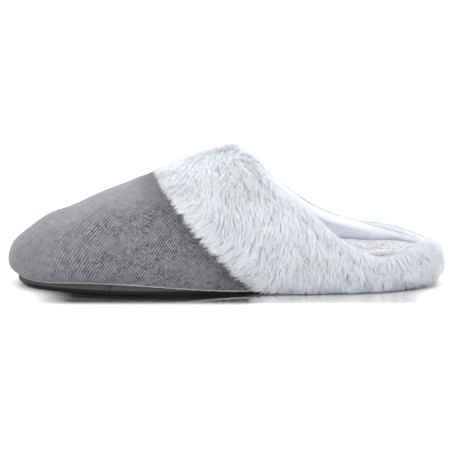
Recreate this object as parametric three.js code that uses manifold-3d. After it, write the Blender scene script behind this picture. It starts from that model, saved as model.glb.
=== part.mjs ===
import * as THREE from "three";
import { mergeVertices } from "three/addons/utils/BufferGeometryUtils.js";
import Module from "manifold-3d";

// A left house slipper with an open heel: a ribbed velour vamp, a fur cuff and heel band, a plush
// lined and padded collar, and a layered soft sole. Millimetres, Z up, toe towards -X, outer side
// towards -Y, standing on the floor at Z = 0.

const wasm = await Module();
wasm.setup();

// Sole plan, as half widths either side of a centre line
const SOLE_LENGTH = 250;
const TOE_HALF_WIDTH = 42;
const BALL_HALF_WIDTH = 45;
const WAIST_HALF_WIDTH = 35;
const HEEL_HALF_WIDTH = 34.5;
const BALL_STATION = -0.42;
const WAIST_STATION = 0.18;
const HEEL_STATION = 0.7;
const END_ROUNDNESS = 2.6;
const TOE_SWING = 3;
const WAIST_SWING = -2.5;

// Sole stack heights
const SOLE_EDGE_HEIGHT = 7;
const TOE_EDGE_HEIGHT = 2.6;
const TOE_SPRING = 2.8;
const TOE_SPRING_LENGTH = 24;
const OUTSOLE_SHARE = 0.35;
const WRAP_THICKNESS = 1;
const FOREFOOT_MIDSOLE_TOP = 10;
const HEEL_MIDSOLE_TOP = 12.6;
const BOARD_THICKNESS = 1.2;
const MEMORY_FOAM_THICKNESS = 5.5;
const SOCK_THICKNESS = 2.6;

// Tread grooves under the outsole
const GROOVE_WIDTH = 2;
const GROOVE_DEPTH = 0.7;
const GROOVE_PITCH = 10;
const GROOVE_ANGLE = THREE.MathUtils.degToRad(18);
const FOREFOOT_TREAD_START = -100;
const FOREFOOT_TREAD_END = -25;
const HEEL_TREAD_START = 62;
const HEEL_TREAD_END = 106;

// Upper: how far it swells past the sole, and how high its ridge stands
const TOE_BULGE = 7;
const SIDE_BULGE = 4.6;
const TOE_BULGE_HEIGHT = 14;
const SIDE_BULGE_HEIGHT = 17;
const TOE_RIDGE_INSET = 26;
const HEEL_RIDGE_INSET = 32;
const TOE_RIDGE_HEIGHT = 45.4;
const CUFF_SEAM_RIDGE_HEIGHT = 69;
const THROAT_RIDGE_HEIGHT = 80.5;
const HEEL_RIDGE_HEIGHT = 60;
const HEM_OFFSET = 1.6;
const HEM_TUCK = THREE.MathUtils.degToRad(62);
const TOE_HEM_LAP = 0.6;
const CUFF_HEM_HEIGHT = 2.6;
const HEEL_HEM_HEIGHT = 1.6;

// Upper layers
const VELOUR_THICKNESS = 1.2;
const VAMP_PADDING_THICKNESS = 2.6;
const LINING_THICKNESS = 1.7;
const FUR_STAND = 4.5;
const COLLAR_EXTRA_PADDING = 3.4;
const COLLAR_PADDING_START = 10;
const COLLAR_PADDING_FULL = 70;
const EDGE_BEAD = 0.9;

// Side-view lines: the cuff seam leans back from ridge to hem, the topline falls from throat to heel
const CUFF_SEAM_RIDGE_X = -42;
const CUFF_SEAM_LEAN = 0.875;
const LINING_SEAM_X = 2;
const FUR_SIDE_SEAM_X = 64;
const THROAT_X = 9;
const THROAT_HEIGHT = 85;
const SHOULDER_X = 36;
const OUTER_SHOULDER_HEIGHT = 62.5;
const INNER_SHOULDER_HEIGHT = 55;
const QUARTER_X = 64;
const OUTER_QUARTER_HEIGHT = 40;
const INNER_QUARTER_HEIGHT = 38;
const OUTER_SIDE_HEIGHT = 27;
const INNER_SIDE_HEIGHT = 32;
const SIDE_X = 88;
const HEEL_TOP_HEIGHT = 27.5;
const TOPLINE_SPACING = 36;

// Fits and mesh fineness
const GAP = 0.3;
const STATIONS = 26;
const CROWN_ROWS = 8;
const TUCK_ROWS = 3;
const TOPLINE_STEPS = 16;

const HALF_LENGTH = SOLE_LENGTH / 2;

// A smooth curve through [position, value] pairs, level beyond both ends.
function smoothCurve(pairs) {
  const slopes = pairs.map((pair, i) => {
    const before = pairs[Math.max(i - 1, 0)];
    const after = pairs[Math.min(i + 1, pairs.length - 1)];
    return (after[1] - before[1]) / (after[0] - before[0]);
  });
  return (at) => {
    const x = THREE.MathUtils.clamp(at, pairs[0][0], pairs[pairs.length - 1][0]);
    const i = Math.max(1, pairs.findIndex((pair) => pair[0] >= x));
    const [x0, y0] = pairs[i - 1];
    const [x1, y1] = pairs[i];
    const width = x1 - x0;
    const s = (x - x0) / width;
    const rise = s * s * (3 - 2 * s);
    const leave = s * (1 - s) * (1 - s) * width * slopes[i - 1];
    const arrive = s * s * (s - 1) * width * slopes[i];
    return y0 + (y1 - y0) * rise + leave + arrive;
  };
}

const halfWidthAt = smoothCurve([
  [-1, TOE_HALF_WIDTH],
  [BALL_STATION, BALL_HALF_WIDTH],
  [WAIST_STATION, WAIST_HALF_WIDTH],
  [HEEL_STATION, HEEL_HALF_WIDTH],
  [1, HEEL_HALF_WIDTH],
]);

const centreLineAt = smoothCurve([
  [-1, TOE_SWING],
  [WAIST_STATION, WAIST_SWING],
  [1, 0],
]);

const outerToplineAt = smoothCurve([
  [THROAT_X, THROAT_HEIGHT],
  [SHOULDER_X, OUTER_SHOULDER_HEIGHT],
  [QUARTER_X, OUTER_QUARTER_HEIGHT],
  [SIDE_X, OUTER_SIDE_HEIGHT],
  [HALF_LENGTH, HEEL_TOP_HEIGHT],
]);

const innerToplineAt = smoothCurve([
  [THROAT_X, THROAT_HEIGHT],
  [SHOULDER_X, INNER_SHOULDER_HEIGHT],
  [QUARTER_X, INNER_QUARTER_HEIGHT],
  [SIDE_X, INNER_SIDE_HEIGHT],
  [HALF_LENGTH, HEEL_TOP_HEIGHT],
]);

const ridgeHeightAt = smoothCurve([
  [-HALF_LENGTH + TOE_RIDGE_INSET, TOE_RIDGE_HEIGHT],
  [CUFF_SEAM_RIDGE_X, CUFF_SEAM_RIDGE_HEIGHT],
  [THROAT_X, THROAT_RIDGE_HEIGHT],
  [HALF_LENGTH - HEEL_RIDGE_INSET, HEEL_RIDGE_HEIGHT],
]);

// The underside lifts towards the toe.
function soleBottomAt(x) {
  const along = THREE.MathUtils.clamp((TOE_SPRING_LENGTH - HALF_LENGTH - x) / TOE_SPRING_LENGTH, 0, 1);
  return TOE_SPRING * along * along;
}

function soleEdgeHeightAt(x) {
  const along = THREE.MathUtils.smoothstep(x, -HALF_LENGTH, -HALF_LENGTH + 2 * TOE_SPRING_LENGTH);
  return THREE.MathUtils.lerp(TOE_EDGE_HEIGHT, SOLE_EDGE_HEIGHT, along);
}

const outsoleTopAt = (x) => soleBottomAt(x) + OUTSOLE_SHARE * soleEdgeHeightAt(x);
const wrapTopAt = (x) => soleBottomAt(x) + soleEdgeHeightAt(x);

// The upper's hem laps the sole wrap at the toe and hangs almost to the floor behind the cuff seam.
function hemHeightAt(x) {
  const toCuff = THREE.MathUtils.smoothstep(x, -0.55 * HALF_LENGTH, 0.12 * HALF_LENGTH);
  const toHeel = THREE.MathUtils.smoothstep(x, 0.12 * HALF_LENGTH, 0.5 * HALF_LENGTH);
  const front = THREE.MathUtils.lerp(wrapTopAt(x) - TOE_HEM_LAP, CUFF_HEM_HEIGHT, toCuff);
  return THREE.MathUtils.lerp(front, HEEL_HEM_HEIGHT, toHeel);
}

function bulgeAt(x) {
  return THREE.MathUtils.lerp(TOE_BULGE, SIDE_BULGE, THREE.MathUtils.smoothstep(x, -HALF_LENGTH, -0.3 * HALF_LENGTH));
}

function bulgeHeightAt(x) {
  const along = THREE.MathUtils.smoothstep(x, -HALF_LENGTH, -0.3 * HALF_LENGTH);
  return THREE.MathUtils.lerp(TOE_BULGE_HEIGHT, SIDE_BULGE_HEIGHT, along);
}

function midsoleTopAt(x) {
  const along = THREE.MathUtils.smoothstep(x, -0.2 * HALF_LENGTH, 0.6 * HALF_LENGTH);
  return THREE.MathUtils.lerp(FOREFOOT_MIDSOLE_TOP, HEEL_MIDSOLE_TOP, along);
}

// How far below the velour's face the cavity wall lies; the collar is padded more than the vamp.
function cavityDepthAt(x) {
  const vamp = VELOUR_THICKNESS + VAMP_PADDING_THICKNESS + LINING_THICKNESS + 2 * GAP;
  const extra = THREE.MathUtils.smoothstep(x, COLLAR_PADDING_START, COLLAR_PADDING_FULL);
  return vamp + COLLAR_EXTRA_PADDING * extra;
}

// A point of the sole outline: t runs 0 at the toe to 1 at the heel, side is -1 outer or 1 inner.
function outlinePoint(t, side) {
  const station = -Math.cos(Math.PI * t);
  const round = Math.pow(Math.max(0, 1 - Math.pow(Math.abs(station), END_ROUNDNESS)), 1 / END_ROUNDNESS);
  const y = centreLineAt(station) + side * halfWidthAt(station) * round;
  return new THREE.Vector2(HALF_LENGTH * station, y);
}

function outlineNormal(t, side) {
  if (t <= 0) return new THREE.Vector2(-1, 0);
  if (t >= 1) return new THREE.Vector2(1, 0);
  const step = 0.25 / STATIONS;
  const ahead = outlinePoint(Math.min(1, t + step), side);
  const along = ahead.sub(outlinePoint(Math.max(0, t - step), side)).normalize();
  return new THREE.Vector2(-side * along.y, side * along.x);
}

function offsetOutline(t, side, offset) {
  return outlinePoint(t, side).addScaledVector(outlineNormal(t, side), offset);
}

// One column of the upper's form from its ridge down to its hem, swollen by `swell`.
function formColumn(t, side, swell, skirt) {
  const edge = outlinePoint(t, side);
  const grown = swell(edge.x);
  const bulge = offsetOutline(t, side, bulgeAt(edge.x) + grown);
  const hem = offsetOutline(t, side, HEM_OFFSET + grown);
  const share = (edge.x + HALF_LENGTH) / SOLE_LENGTH;
  const ridgeX = THREE.MathUtils.lerp(-HALF_LENGTH + TOE_RIDGE_INSET, HALF_LENGTH - HEEL_RIDGE_INSET, share);
  const ridgeY = centreLineAt(ridgeX / HALF_LENGTH);
  const slope = (ridgeHeightAt(ridgeX + 1) - ridgeHeightAt(ridgeX - 1)) / 2;
  const low = bulgeHeightAt(edge.x);
  const column = [];
  for (let row = 0; row <= CROWN_ROWS; row++) {
    const angle = ((row / CROWN_ROWS) * Math.PI) / 2;
    const x = THREE.MathUtils.lerp(ridgeX, bulge.x, Math.sin(angle));
    const y = THREE.MathUtils.lerp(ridgeY, bulge.y, Math.sin(angle));
    const rise = ridgeHeightAt(ridgeX) + grown - low + slope * (x - ridgeX);
    column.push(new THREE.Vector3(x, y, low + rise * Math.cos(angle)));
  }
  const foot = hemHeightAt(edge.x);
  for (let row = 1; row <= TUCK_ROWS; row++) {
    const angle = (row / TUCK_ROWS) * HEM_TUCK;
    const inward = (1 - Math.cos(angle)) / (1 - Math.cos(HEM_TUCK));
    const x = THREE.MathUtils.lerp(bulge.x, hem.x, inward);
    const y = THREE.MathUtils.lerp(bulge.y, hem.y, inward);
    column.push(new THREE.Vector3(x, y, low + ((foot - low) * Math.sin(angle)) / Math.sin(HEM_TUCK)));
  }
  if (skirt > 0) column.push(new THREE.Vector3(hem.x, hem.y, foot - skirt));
  return column;
}

// Closes two families of columns, inner side and outer side, that meet at both tips, into one solid.
function solidFromColumns(columnOf) {
  const positions = [];
  const quad = (a, b, c, d) => positions.push(a, b, c, a, c, d);
  for (let i = 0; i < STATIONS; i++) {
    for (const side of [-1, 1]) {
      const near = columnOf(i / STATIONS, side);
      const far = columnOf((i + 1) / STATIONS, side);
      for (let row = 0; row + 1 < near.length; row++) {
        if (side < 0) quad(near[row], near[row + 1], far[row + 1], far[row]);
        else quad(near[row], far[row], far[row + 1], near[row + 1]);
      }
    }
    const [a, b] = [-1, 1].map((side) => columnOf(i / STATIONS, side));
    const [c, d] = [1, -1].map((side) => columnOf((i + 1) / STATIONS, side));
    quad(a[a.length - 1], b[b.length - 1], c[c.length - 1], d[d.length - 1]);
    quad(a[0], d[0], c[0], b[0]);
  }
  return solidOf(new THREE.BufferGeometry().setFromPoints(positions));
}

// The upper's form as a full solid; a skirt carries its walls on below the hem.
function formSolid(swell, skirt = 0) {
  return solidFromColumns((t, side) => formColumn(t, side, swell, skirt));
}

// A slab of the sole's plan between two heights that follow the length.
function slabSolid(offset, bottomAt, topAt) {
  return solidFromColumns((t, side) => {
    const rim = offsetOutline(t, side, offset);
    const top = new THREE.Vector3(rim.x, rim.y, topAt(rim.x));
    return [top, new THREE.Vector3(rim.x, rim.y, bottomAt(rim.x))];
  });
}

function solidOf(geometry) {
  const bare = geometry.clone();
  bare.deleteAttribute("normal");
  bare.deleteAttribute("uv");
  const merged = mergeVertices(bare, 1e-3);
  const faces = [];
  const index = merged.index.array;
  for (let i = 0; i < index.length; i += 3) {
    const corners = [index[i], index[i + 1], index[i + 2]];
    if (new Set(corners).size === 3) faces.push(...corners);
  }
  const vertProperties = merged.attributes.position.array;
  return new wasm.Manifold(new wasm.Mesh({ numProp: 3, vertProperties, triVerts: new Uint32Array(faces) }));
}

const ahead = (solid, x, gap) => solid.trimByPlane([-1, 0, 0], -x + gap / 2);
const behind = (solid, x, gap) => solid.trimByPlane([1, 0, 0], x + gap / 2);

// The leaning plane of the cuff seam: toe half and heel half of anything it crosses.
const SEAM_NORMAL = new THREE.Vector3(1, 0, CUFF_SEAM_LEAN).normalize();
const SEAM_DISTANCE = SEAM_NORMAL.dot(new THREE.Vector3(CUFF_SEAM_RIDGE_X, 0, CUFF_SEAM_RIDGE_HEIGHT));

function toeSideOfSeam(solid) {
  return solid.trimByPlane(SEAM_NORMAL.clone().negate().toArray(), -SEAM_DISTANCE + GAP / 2);
}

function heelSideOfSeam(solid) {
  return solid.trimByPlane(SEAM_NORMAL.toArray(), SEAM_DISTANCE + GAP / 2);
}

// Everything above the topline, which stands at its own height on each side of the foot.
function mouthCutter() {
  const top = THROAT_HEIGHT + 2 * TOPLINE_SPACING;
  const end = 2 * HALF_LENGTH;
  const rings = [];
  for (let i = 0; i <= TOPLINE_STEPS; i++) {
    const x = THREE.MathUtils.lerp(THROAT_X, end, Math.pow(i / TOPLINE_STEPS, 1.5));
    const outer = outerToplineAt(x);
    const inner = innerToplineAt(x);
    const low = outer + (outer - inner) / 2;
    const high = inner + (inner - outer) / 2;
    const reach = 2 * TOPLINE_SPACING;
    rings.push([
      new THREE.Vector3(x, -reach, low),
      new THREE.Vector3(x, -reach, top),
      new THREE.Vector3(x, reach, top),
      new THREE.Vector3(x, reach, high),
    ]);
  }
  return loftSolid(rings);
}

// Skins a row of four-cornered rings and closes both ends.
function loftSolid(rings) {
  const positions = [];
  const quad = (a, b, c, d) => positions.push(a, b, c, a, c, d);
  for (let i = 0; i + 1 < rings.length; i++) {
    for (let j = 0; j < 4; j++) {
      const k = (j + 1) % 4;
      quad(rings[i][j], rings[i + 1][j], rings[i + 1][k], rings[i][k]);
    }
  }
  quad(...rings[0]);
  quad(...rings[rings.length - 1].toReversed());
  return solidOf(new THREE.BufferGeometry().setFromPoints(positions));
}

// A layer of the upper between two depths below the velour's face, standing clear of the sole.
function upperLayer(outerDepth, innerDepth) {
  const outside = formSolid((x) => -outerDepth(x));
  const inside = formSolid((x) => -innerDepth(x), 4);
  const sole = slabSolid(GAP, () => -10, (x) => wrapTopAt(x) + GAP);
  return outside.subtract(inside).subtract(sole).subtract(mouthCutter());
}

const velourBackDepth = () => VELOUR_THICKNESS;
const paddingFaceDepth = () => VELOUR_THICKNESS + GAP;
const liningBackDepth = (x) => cavityDepthAt(x) - LINING_THICKNESS;
const paddingBackDepth = (x) => liningBackDepth(x) - GAP;

function makeVampVelour() {
  return toeSideOfSeam(upperLayer(() => 0, velourBackDepth));
}

function makeFur() {
  return heelSideOfSeam(upperLayer(() => -FUR_STAND, velourBackDepth));
}

function makePadding() {
  return upperLayer(paddingFaceDepth, paddingBackDepth);
}

function makeLining() {
  return upperLayer(liningBackDepth, cavityDepthAt);
}

// The rolled edge that shows as a pale line between the velour's hem and the sole wrap.
function makeEdgeBead() {
  const topAt = (x) => hemHeightAt(x) - GAP;
  const ring = slabSolid(HEM_OFFSET, (x) => topAt(x) - EDGE_BEAD, topAt);
  const hole = slabSolid(HEM_OFFSET - VELOUR_THICKNESS, () => -10, () => 2 * SOLE_EDGE_HEIGHT);
  return toeSideOfSeam(ring.subtract(hole));
}

function groove(x, side) {
  const length = 3 * BALL_HALF_WIDTH;
  const box = new THREE.BoxGeometry(GROOVE_WIDTH, length, 2 * GROOVE_DEPTH);
  box.translate(0, (side * length) / 2, 0);
  box.rotateZ(side * GROOVE_ANGLE);
  box.translate(x, 0, 0);
  return solidOf(box);
}

function makeOutsole() {
  let sole = slabSolid(0, soleBottomAt, outsoleTopAt);
  const spans = [
    [FOREFOOT_TREAD_START, FOREFOOT_TREAD_END],
    [HEEL_TREAD_START, HEEL_TREAD_END],
  ];
  for (const [from, to] of spans) {
    for (let x = from; x <= to; x += GROOVE_PITCH) {
      sole = sole.subtract(groove(x, -1).add(groove(x, 1)));
    }
  }
  return sole;
}

function makeSoleWrap() {
  const band = slabSolid(0, (x) => outsoleTopAt(x) + GAP, wrapTopAt);
  return band.subtract(slabSolid(-WRAP_THICKNESS, () => -10, () => 2 * SOLE_EDGE_HEIGHT));
}

// A layer of the footbed, cut to the space inside the lining.
function footbedLayer(bottomAt, topAt) {
  const slab = slabSolid(HEM_OFFSET, bottomAt, topAt);
  return slab.intersect(formSolid((x) => -cavityDepthAt(x) - GAP, 4));
}

function makeMidsole() {
  const base = slabSolid(-WRAP_THICKNESS - GAP, (x) => outsoleTopAt(x) + GAP, wrapTopAt);
  return base.add(footbedLayer((x) => wrapTopAt(x) - GAP, midsoleTopAt));
}

const boardTopAt = (x) => midsoleTopAt(x) + GAP + BOARD_THICKNESS;
const memoryFoamTopAt = (x) => boardTopAt(x) + GAP + MEMORY_FOAM_THICKNESS;
const sockTopAt = (x) => memoryFoamTopAt(x) + GAP + SOCK_THICKNESS;

const finish = (color, roughness) => new THREE.MeshStandardMaterial({ color, roughness, metalness: 0 });

const VELOUR_GREY = 0x85828a;
const SOLE_GREY = 0x4b4949;
const TREAD_GREY = 0x3a3939;
const EDGE_GREY = 0xa3a1a6;
const FUR_WHITE = 0xd3d8e0;
const LINING_WHITE = 0xdfe4ee;
const SOCK_WHITE = 0xe4e4e6;
const FOAM_CREAM = 0xe9e2cf;
const BOARD_BROWN = 0xb59d78;

function node(name, solid, material) {
  const mesh = solid.getMesh();
  const geometry = new THREE.BufferGeometry();
  geometry.setAttribute("position", new THREE.BufferAttribute(new Float32Array(mesh.vertProperties), 3));
  geometry.setIndex(new THREE.BufferAttribute(new Uint32Array(mesh.triVerts), 1));
  geometry.computeVertexNormals();
  const made = new THREE.Mesh(geometry, material);
  made.name = name;
  return made;
}

function buildSlipper() {
  const fur = makeFur();
  const padding = makePadding();
  const lining = makeLining();
  const slipper = new THREE.Group();
  slipper.name = "house_slipper";
  slipper.add(
    node("outsole", makeOutsole(), finish(TREAD_GREY, 0.85)),
    node("sole_wrap", makeSoleWrap(), finish(SOLE_GREY, 0.9)),
    node("midsole_foam", makeMidsole(), finish(FOAM_CREAM, 0.9)),
    node("insole_board", footbedLayer((x) => midsoleTopAt(x) + GAP, boardTopAt), finish(BOARD_BROWN, 0.8)),
    node("memory_foam_pad", footbedLayer((x) => boardTopAt(x) + GAP, memoryFoamTopAt), finish(FOAM_CREAM, 0.9)),
    node("insole_sock", footbedLayer((x) => memoryFoamTopAt(x) + GAP, sockTopAt), finish(SOCK_WHITE, 0.95)),
    node("vamp_velour", makeVampVelour(), finish(VELOUR_GREY, 0.9)),
    node("vamp_edge_bead", makeEdgeBead(), finish(EDGE_GREY, 0.8)),
    node("vamp_padding", toeSideOfSeam(padding), finish(FOAM_CREAM, 0.9)),
    node("collar_foam", heelSideOfSeam(padding), finish(FOAM_CREAM, 0.9)),
    node("vamp_lining", ahead(lining, LINING_SEAM_X, GAP), finish(LINING_WHITE, 0.95)),
    node("collar_lining", behind(lining, LINING_SEAM_X, GAP), finish(LINING_WHITE, 0.95)),
    node("fur_cuff", ahead(fur, FUR_SIDE_SEAM_X, GAP), finish(FUR_WHITE, 0.95)),
    node("fur_heel_band", behind(fur, FUR_SIDE_SEAM_X, GAP), finish(FUR_WHITE, 0.95)),
  );
  const box = new THREE.Box3().setFromObject(slipper);
  const middle = box.getCenter(new THREE.Vector3());
  for (const piece of slipper.children) {
    piece.geometry.translate(-middle.x, -middle.y, -box.min.z);
  }
  return slipper;
}

export default buildSlipper();
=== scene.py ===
"""A left house slipper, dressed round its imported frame.

The velour toe, the fur cuff and heel, the plush lining, the footbed and the sole are each a class.
Sizes are in millimetres, apart from those of the table, the lamps and the camera, which are in metres.
Meshes are made in metres.
"""

from __future__ import annotations

import logging
import math
from dataclasses import dataclass
from enum import Enum
from typing import Any, Callable, Sequence

import bmesh
import bpy
import numpy as np
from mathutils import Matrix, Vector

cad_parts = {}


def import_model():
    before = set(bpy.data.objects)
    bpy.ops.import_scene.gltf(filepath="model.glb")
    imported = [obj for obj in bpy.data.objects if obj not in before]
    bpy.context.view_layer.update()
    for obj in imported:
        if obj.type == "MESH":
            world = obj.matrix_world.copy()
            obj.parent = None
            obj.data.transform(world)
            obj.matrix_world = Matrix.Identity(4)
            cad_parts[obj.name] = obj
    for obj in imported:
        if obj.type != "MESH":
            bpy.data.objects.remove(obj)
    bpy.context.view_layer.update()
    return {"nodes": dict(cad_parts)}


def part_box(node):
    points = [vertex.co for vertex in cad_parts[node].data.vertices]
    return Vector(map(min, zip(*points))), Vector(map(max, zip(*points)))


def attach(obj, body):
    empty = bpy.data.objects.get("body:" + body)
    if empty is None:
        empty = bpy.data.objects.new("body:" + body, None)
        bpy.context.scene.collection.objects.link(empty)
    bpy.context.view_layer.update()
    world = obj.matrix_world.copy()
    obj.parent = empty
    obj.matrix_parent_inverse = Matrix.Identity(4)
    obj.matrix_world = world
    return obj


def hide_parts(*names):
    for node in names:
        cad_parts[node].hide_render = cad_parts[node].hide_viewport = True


LOG = logging.getLogger("slipper")
MM = 0.001
Array = np.ndarray
Swell = Callable[[Array], Array]
Colour = tuple[float, float, float]
Looks = dict[str, Any]


class Side(Enum):
    """Which side of the foot: the camera side is the outer one."""

    OUTER = -1
    INNER = 1


def smooth_curve(pairs: Sequence[tuple[float, float]]) -> Callable[[Array], Array]:
    """Makes a smooth curve through points, level beyond both ends.

    Args:
        pairs: position and value, in order of position.

    Returns:
        A function from positions to values.
    """
    x = np.array([pair[0] for pair in pairs], float)
    y = np.array([pair[1] for pair in pairs], float)
    before = np.maximum(np.arange(len(x)) - 1, 0)
    after = np.minimum(np.arange(len(x)) + 1, len(x) - 1)
    slope = (y[after] - y[before]) / (x[after] - x[before])

    def value(at: Array) -> Array:
        """Gives the curve's value at each position.

        Args:
            at: positions, held within the curve's ends.

        Returns:
            One value for each position.
        """
        at = np.clip(np.asarray(at, float), x[0], x[-1])
        i = np.clip(np.searchsorted(x, at), 1, len(x) - 1)
        width = x[i] - x[i - 1]
        s = (at - x[i - 1]) / width
        rise = s * s * (3 - 2 * s)
        leave = s * (1 - s) ** 2 * width * slope[i - 1]
        arrive = s * s * (s - 1) * width * slope[i]
        return y[i - 1] + (y[i] - y[i - 1]) * rise + leave + arrive

    return value


def smoothstep(x: Array, low: float, high: float) -> Array:
    """Eases from 0 at low to 1 at high."""
    s = np.clip((np.asarray(x, float) - low) / (high - low), 0, 1)
    return s * s * (3 - 2 * s)


def blend(a: Any, b: Any, s: Any) -> Any:
    """Mixes a and b, all a where s is 0."""
    return a + (b - a) * s


def soft_noise(points: Array, size: float, seed: int) -> Array:
    """Gives smooth noise of about unit height at points.

    Args:
        points: positions in millimetres, last axis 3.
        size: about how far apart its swells are.
        seed: fixes the pattern.

    Returns:
        One value for each point.
    """
    rng = np.random.default_rng(seed)
    total = np.zeros(points.shape[:-1])
    for _ in range(9):
        way = rng.normal(size=3)
        way *= rng.uniform(0.7, 1.6) * 2 * math.pi / (size * np.linalg.norm(way))
        total += np.sin(points @ way + rng.uniform(0, 2 * math.pi))
    return total / 3


def level(height: float) -> Swell:
    """Makes a layer that stands as far outside the velour's face all over."""
    return lambda x: np.full(np.shape(x), height)


@dataclass(frozen=True)
class SlipperForm:
    """The shape that every layer follows: the sole's plan, the upper's ridge and its hem."""

    sole_length: float
    shift_x: float
    shift_y: float
    # The sole's plan, as half widths either side of a centre line
    toe_half_width: float = 42
    ball_half_width: float = 45
    waist_half_width: float = 35
    heel_half_width: float = 34.5
    end_roundness: float = 2.6
    # The sole's edge, which lifts off the floor at the toe
    sole_edge: float = 7
    toe_edge: float = 4.6
    toe_spring: float = 2.8
    spring_length: float = 24
    # How far the upper swells past the sole, and where it is widest
    toe_bulge: float = 7
    side_bulge: float = 4.6
    toe_bulge_height: float = 14
    side_bulge_height: float = 17
    # The ridge along the top; a crown below 1 makes the toe blunter
    toe_crown: float = 0.8
    toe_ridge_inset: float = 26
    heel_ridge_inset: float = 32
    toe_ridge_height: float = 45.4
    throat_ridge_height: float = 80.5
    heel_ridge_height: float = 60
    # The hem, tucked in under the swell
    hem_lap: float = -0.3
    hem_offset: float = 1.6
    hem_tuck: float = math.radians(62)
    cuff_hem: float = 2.6
    heel_hem: float = 1.6
    # The leaning cuff seam and the front of the foot opening
    seam_x: float = -42
    seam_height: float = 69
    seam_lean: float = 0.875
    throat_x: float = 9
    throat_height: float = 85
    throat_slope: float = -1.1
    # The room inside
    cavity: float = 6.1
    collar_padding: float = 3.4
    sock_front: float = 20.2
    sock_heel: float = 22.8

    @property
    def half(self) -> float:
        """Half the sole's length."""
        return self.sole_length / 2

    def half_width(self, station: Array) -> Array:
        """The sole's half width before its ends are rounded, from -1 at the toe to 1 at the heel."""
        knots = [(-1, self.toe_half_width), (-0.42, self.ball_half_width), (0.18, self.waist_half_width)]
        return smooth_curve([*knots, (0.7, self.heel_half_width), (1, self.heel_half_width)])(station)

    def centre_line(self, station: Array) -> Array:
        """How far the sole's middle swings to the inner side."""
        return smooth_curve([(-1, 3), (0.18, -2.5), (1, 0)])(station)

    def ridge_height(self, x: Array) -> Array:
        """The height of the upper's ridge.

        Args:
            x: places along the foot.

        Returns:
            Heights, which go on falling at the same slope ahead of the toe's ridge.
        """
        toe = (-self.half + self.toe_ridge_inset, self.toe_ridge_height)
        heel = (self.half - self.heel_ridge_inset, self.heel_ridge_height)
        ahead = np.minimum(x - toe[0], 0) * (self.seam_height - toe[1]) / (self.seam_x - toe[0])
        seam, throat = (self.seam_x, self.seam_height), (self.throat_x, self.throat_ridge_height)
        return smooth_curve([toe, seam, throat, heel])(x) + ahead

    def sole_bottom(self, x: Array) -> Array:
        """The underside's height, which lifts at the toe."""
        along = np.clip((self.spring_length - self.half - x) / self.spring_length, 0, 1)
        return self.toe_spring * along**2

    def sole_edge_height(self, x: Array) -> Array:
        """How thick the sole's visible edge is."""
        along = smoothstep(x, -self.half, 2 * self.spring_length - self.half)
        return blend(self.toe_edge, self.sole_edge, along)

    def wrap_top(self, x: Array) -> Array:
        """The height of the wrap's upper edge."""
        return self.sole_bottom(x) + self.sole_edge_height(x)

    def hem_height(self, x: Array) -> Array:
        """The upper's lowest line.

        Args:
            x: places along the foot.

        Returns:
            Heights, which fall from the wrap's edge nearly to the floor.
        """
        to_cuff = smoothstep(x, -0.55 * self.half, 0.12 * self.half)
        to_heel = smoothstep(x, 0.12 * self.half, 0.5 * self.half)
        front = blend(self.wrap_top(x) - self.hem_lap, self.cuff_hem, to_cuff)
        return blend(front, self.heel_hem, to_heel)

    def sock_top(self, x: Array) -> Array:
        """The footbed's height."""
        return blend(self.sock_front, self.sock_heel, smoothstep(x, -0.2 * self.half, 0.6 * self.half))

    def cavity_depth(self, x: Array) -> Array:
        """How far the lining's face lies below the velour's."""
        return self.cavity + self.collar_padding * smoothstep(x, 10, 70)

    def topline(self, x: Array, y: Array) -> Array:
        """The foot opening's edge, higher in front on the outer side.

        Args:
            x: places along the foot.
            y: places across it.

        Returns:
            Heights.
        """
        first = (self.throat_x, self.throat_height)
        low = [(36, 60), (48, 51.5), (64, 37), (74, 29.5), (90, 21), (103, 20.5), (113, 24.5)]
        high = [(28, 64.6), (40, 55.4), (52, 46.2), (63, 40.6), (75, 37), (90, 34.6), (105, 33.2)]
        outer = smooth_curve([first, *low, (self.half, 25.5)])(x)
        inner = smooth_curve([first, *high, (self.half, 26.5)])(x)
        ahead = np.maximum(self.throat_x - x, 0) * -self.throat_slope
        return (outer + inner) / 2 + np.clip(y / 27, -1, 1) * (inner - outer) / 2 + ahead

    def outline(self, t: Array, side: Array) -> Array:
        """The sole's plan.

        Args:
            t: columns, from 0 at the toe to 1 at the heel.
            side: their sides.

        Returns:
            Points, last axis 2.
        """
        station = -np.cos(np.pi * t)
        power = self.end_roundness
        round_off = np.maximum(0, 1 - np.abs(station) ** power) ** (1 / power)
        y = self.centre_line(station) + side * self.half_width(station) * round_off
        return np.stack([self.half * station, y], -1)

    def normal(self, t: Array, side: Array) -> Array:
        """The plan's outward direction.

        Args:
            t: columns.
            side: their sides.

        Returns:
            Unit directions, last axis 2.
        """
        step = 0.004
        along = self.outline(np.minimum(1, t + step), side) - self.outline(np.maximum(0, t - step), side)
        along /= np.linalg.norm(along, axis=-1, keepdims=True)
        out = np.stack([-side * along[..., 1], side * along[..., 0]], -1)
        out[np.asarray(t) <= 0] = (-1, 0)
        out[np.asarray(t) >= 1] = (1, 0)
        return out

    def rim(self, t: Array, side: Array, offset: Array) -> Array:
        """The plan moved outwards by an offset."""
        return self.outline(t, side) + self.normal(t, side) * np.asarray(offset)[..., None]

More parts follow.
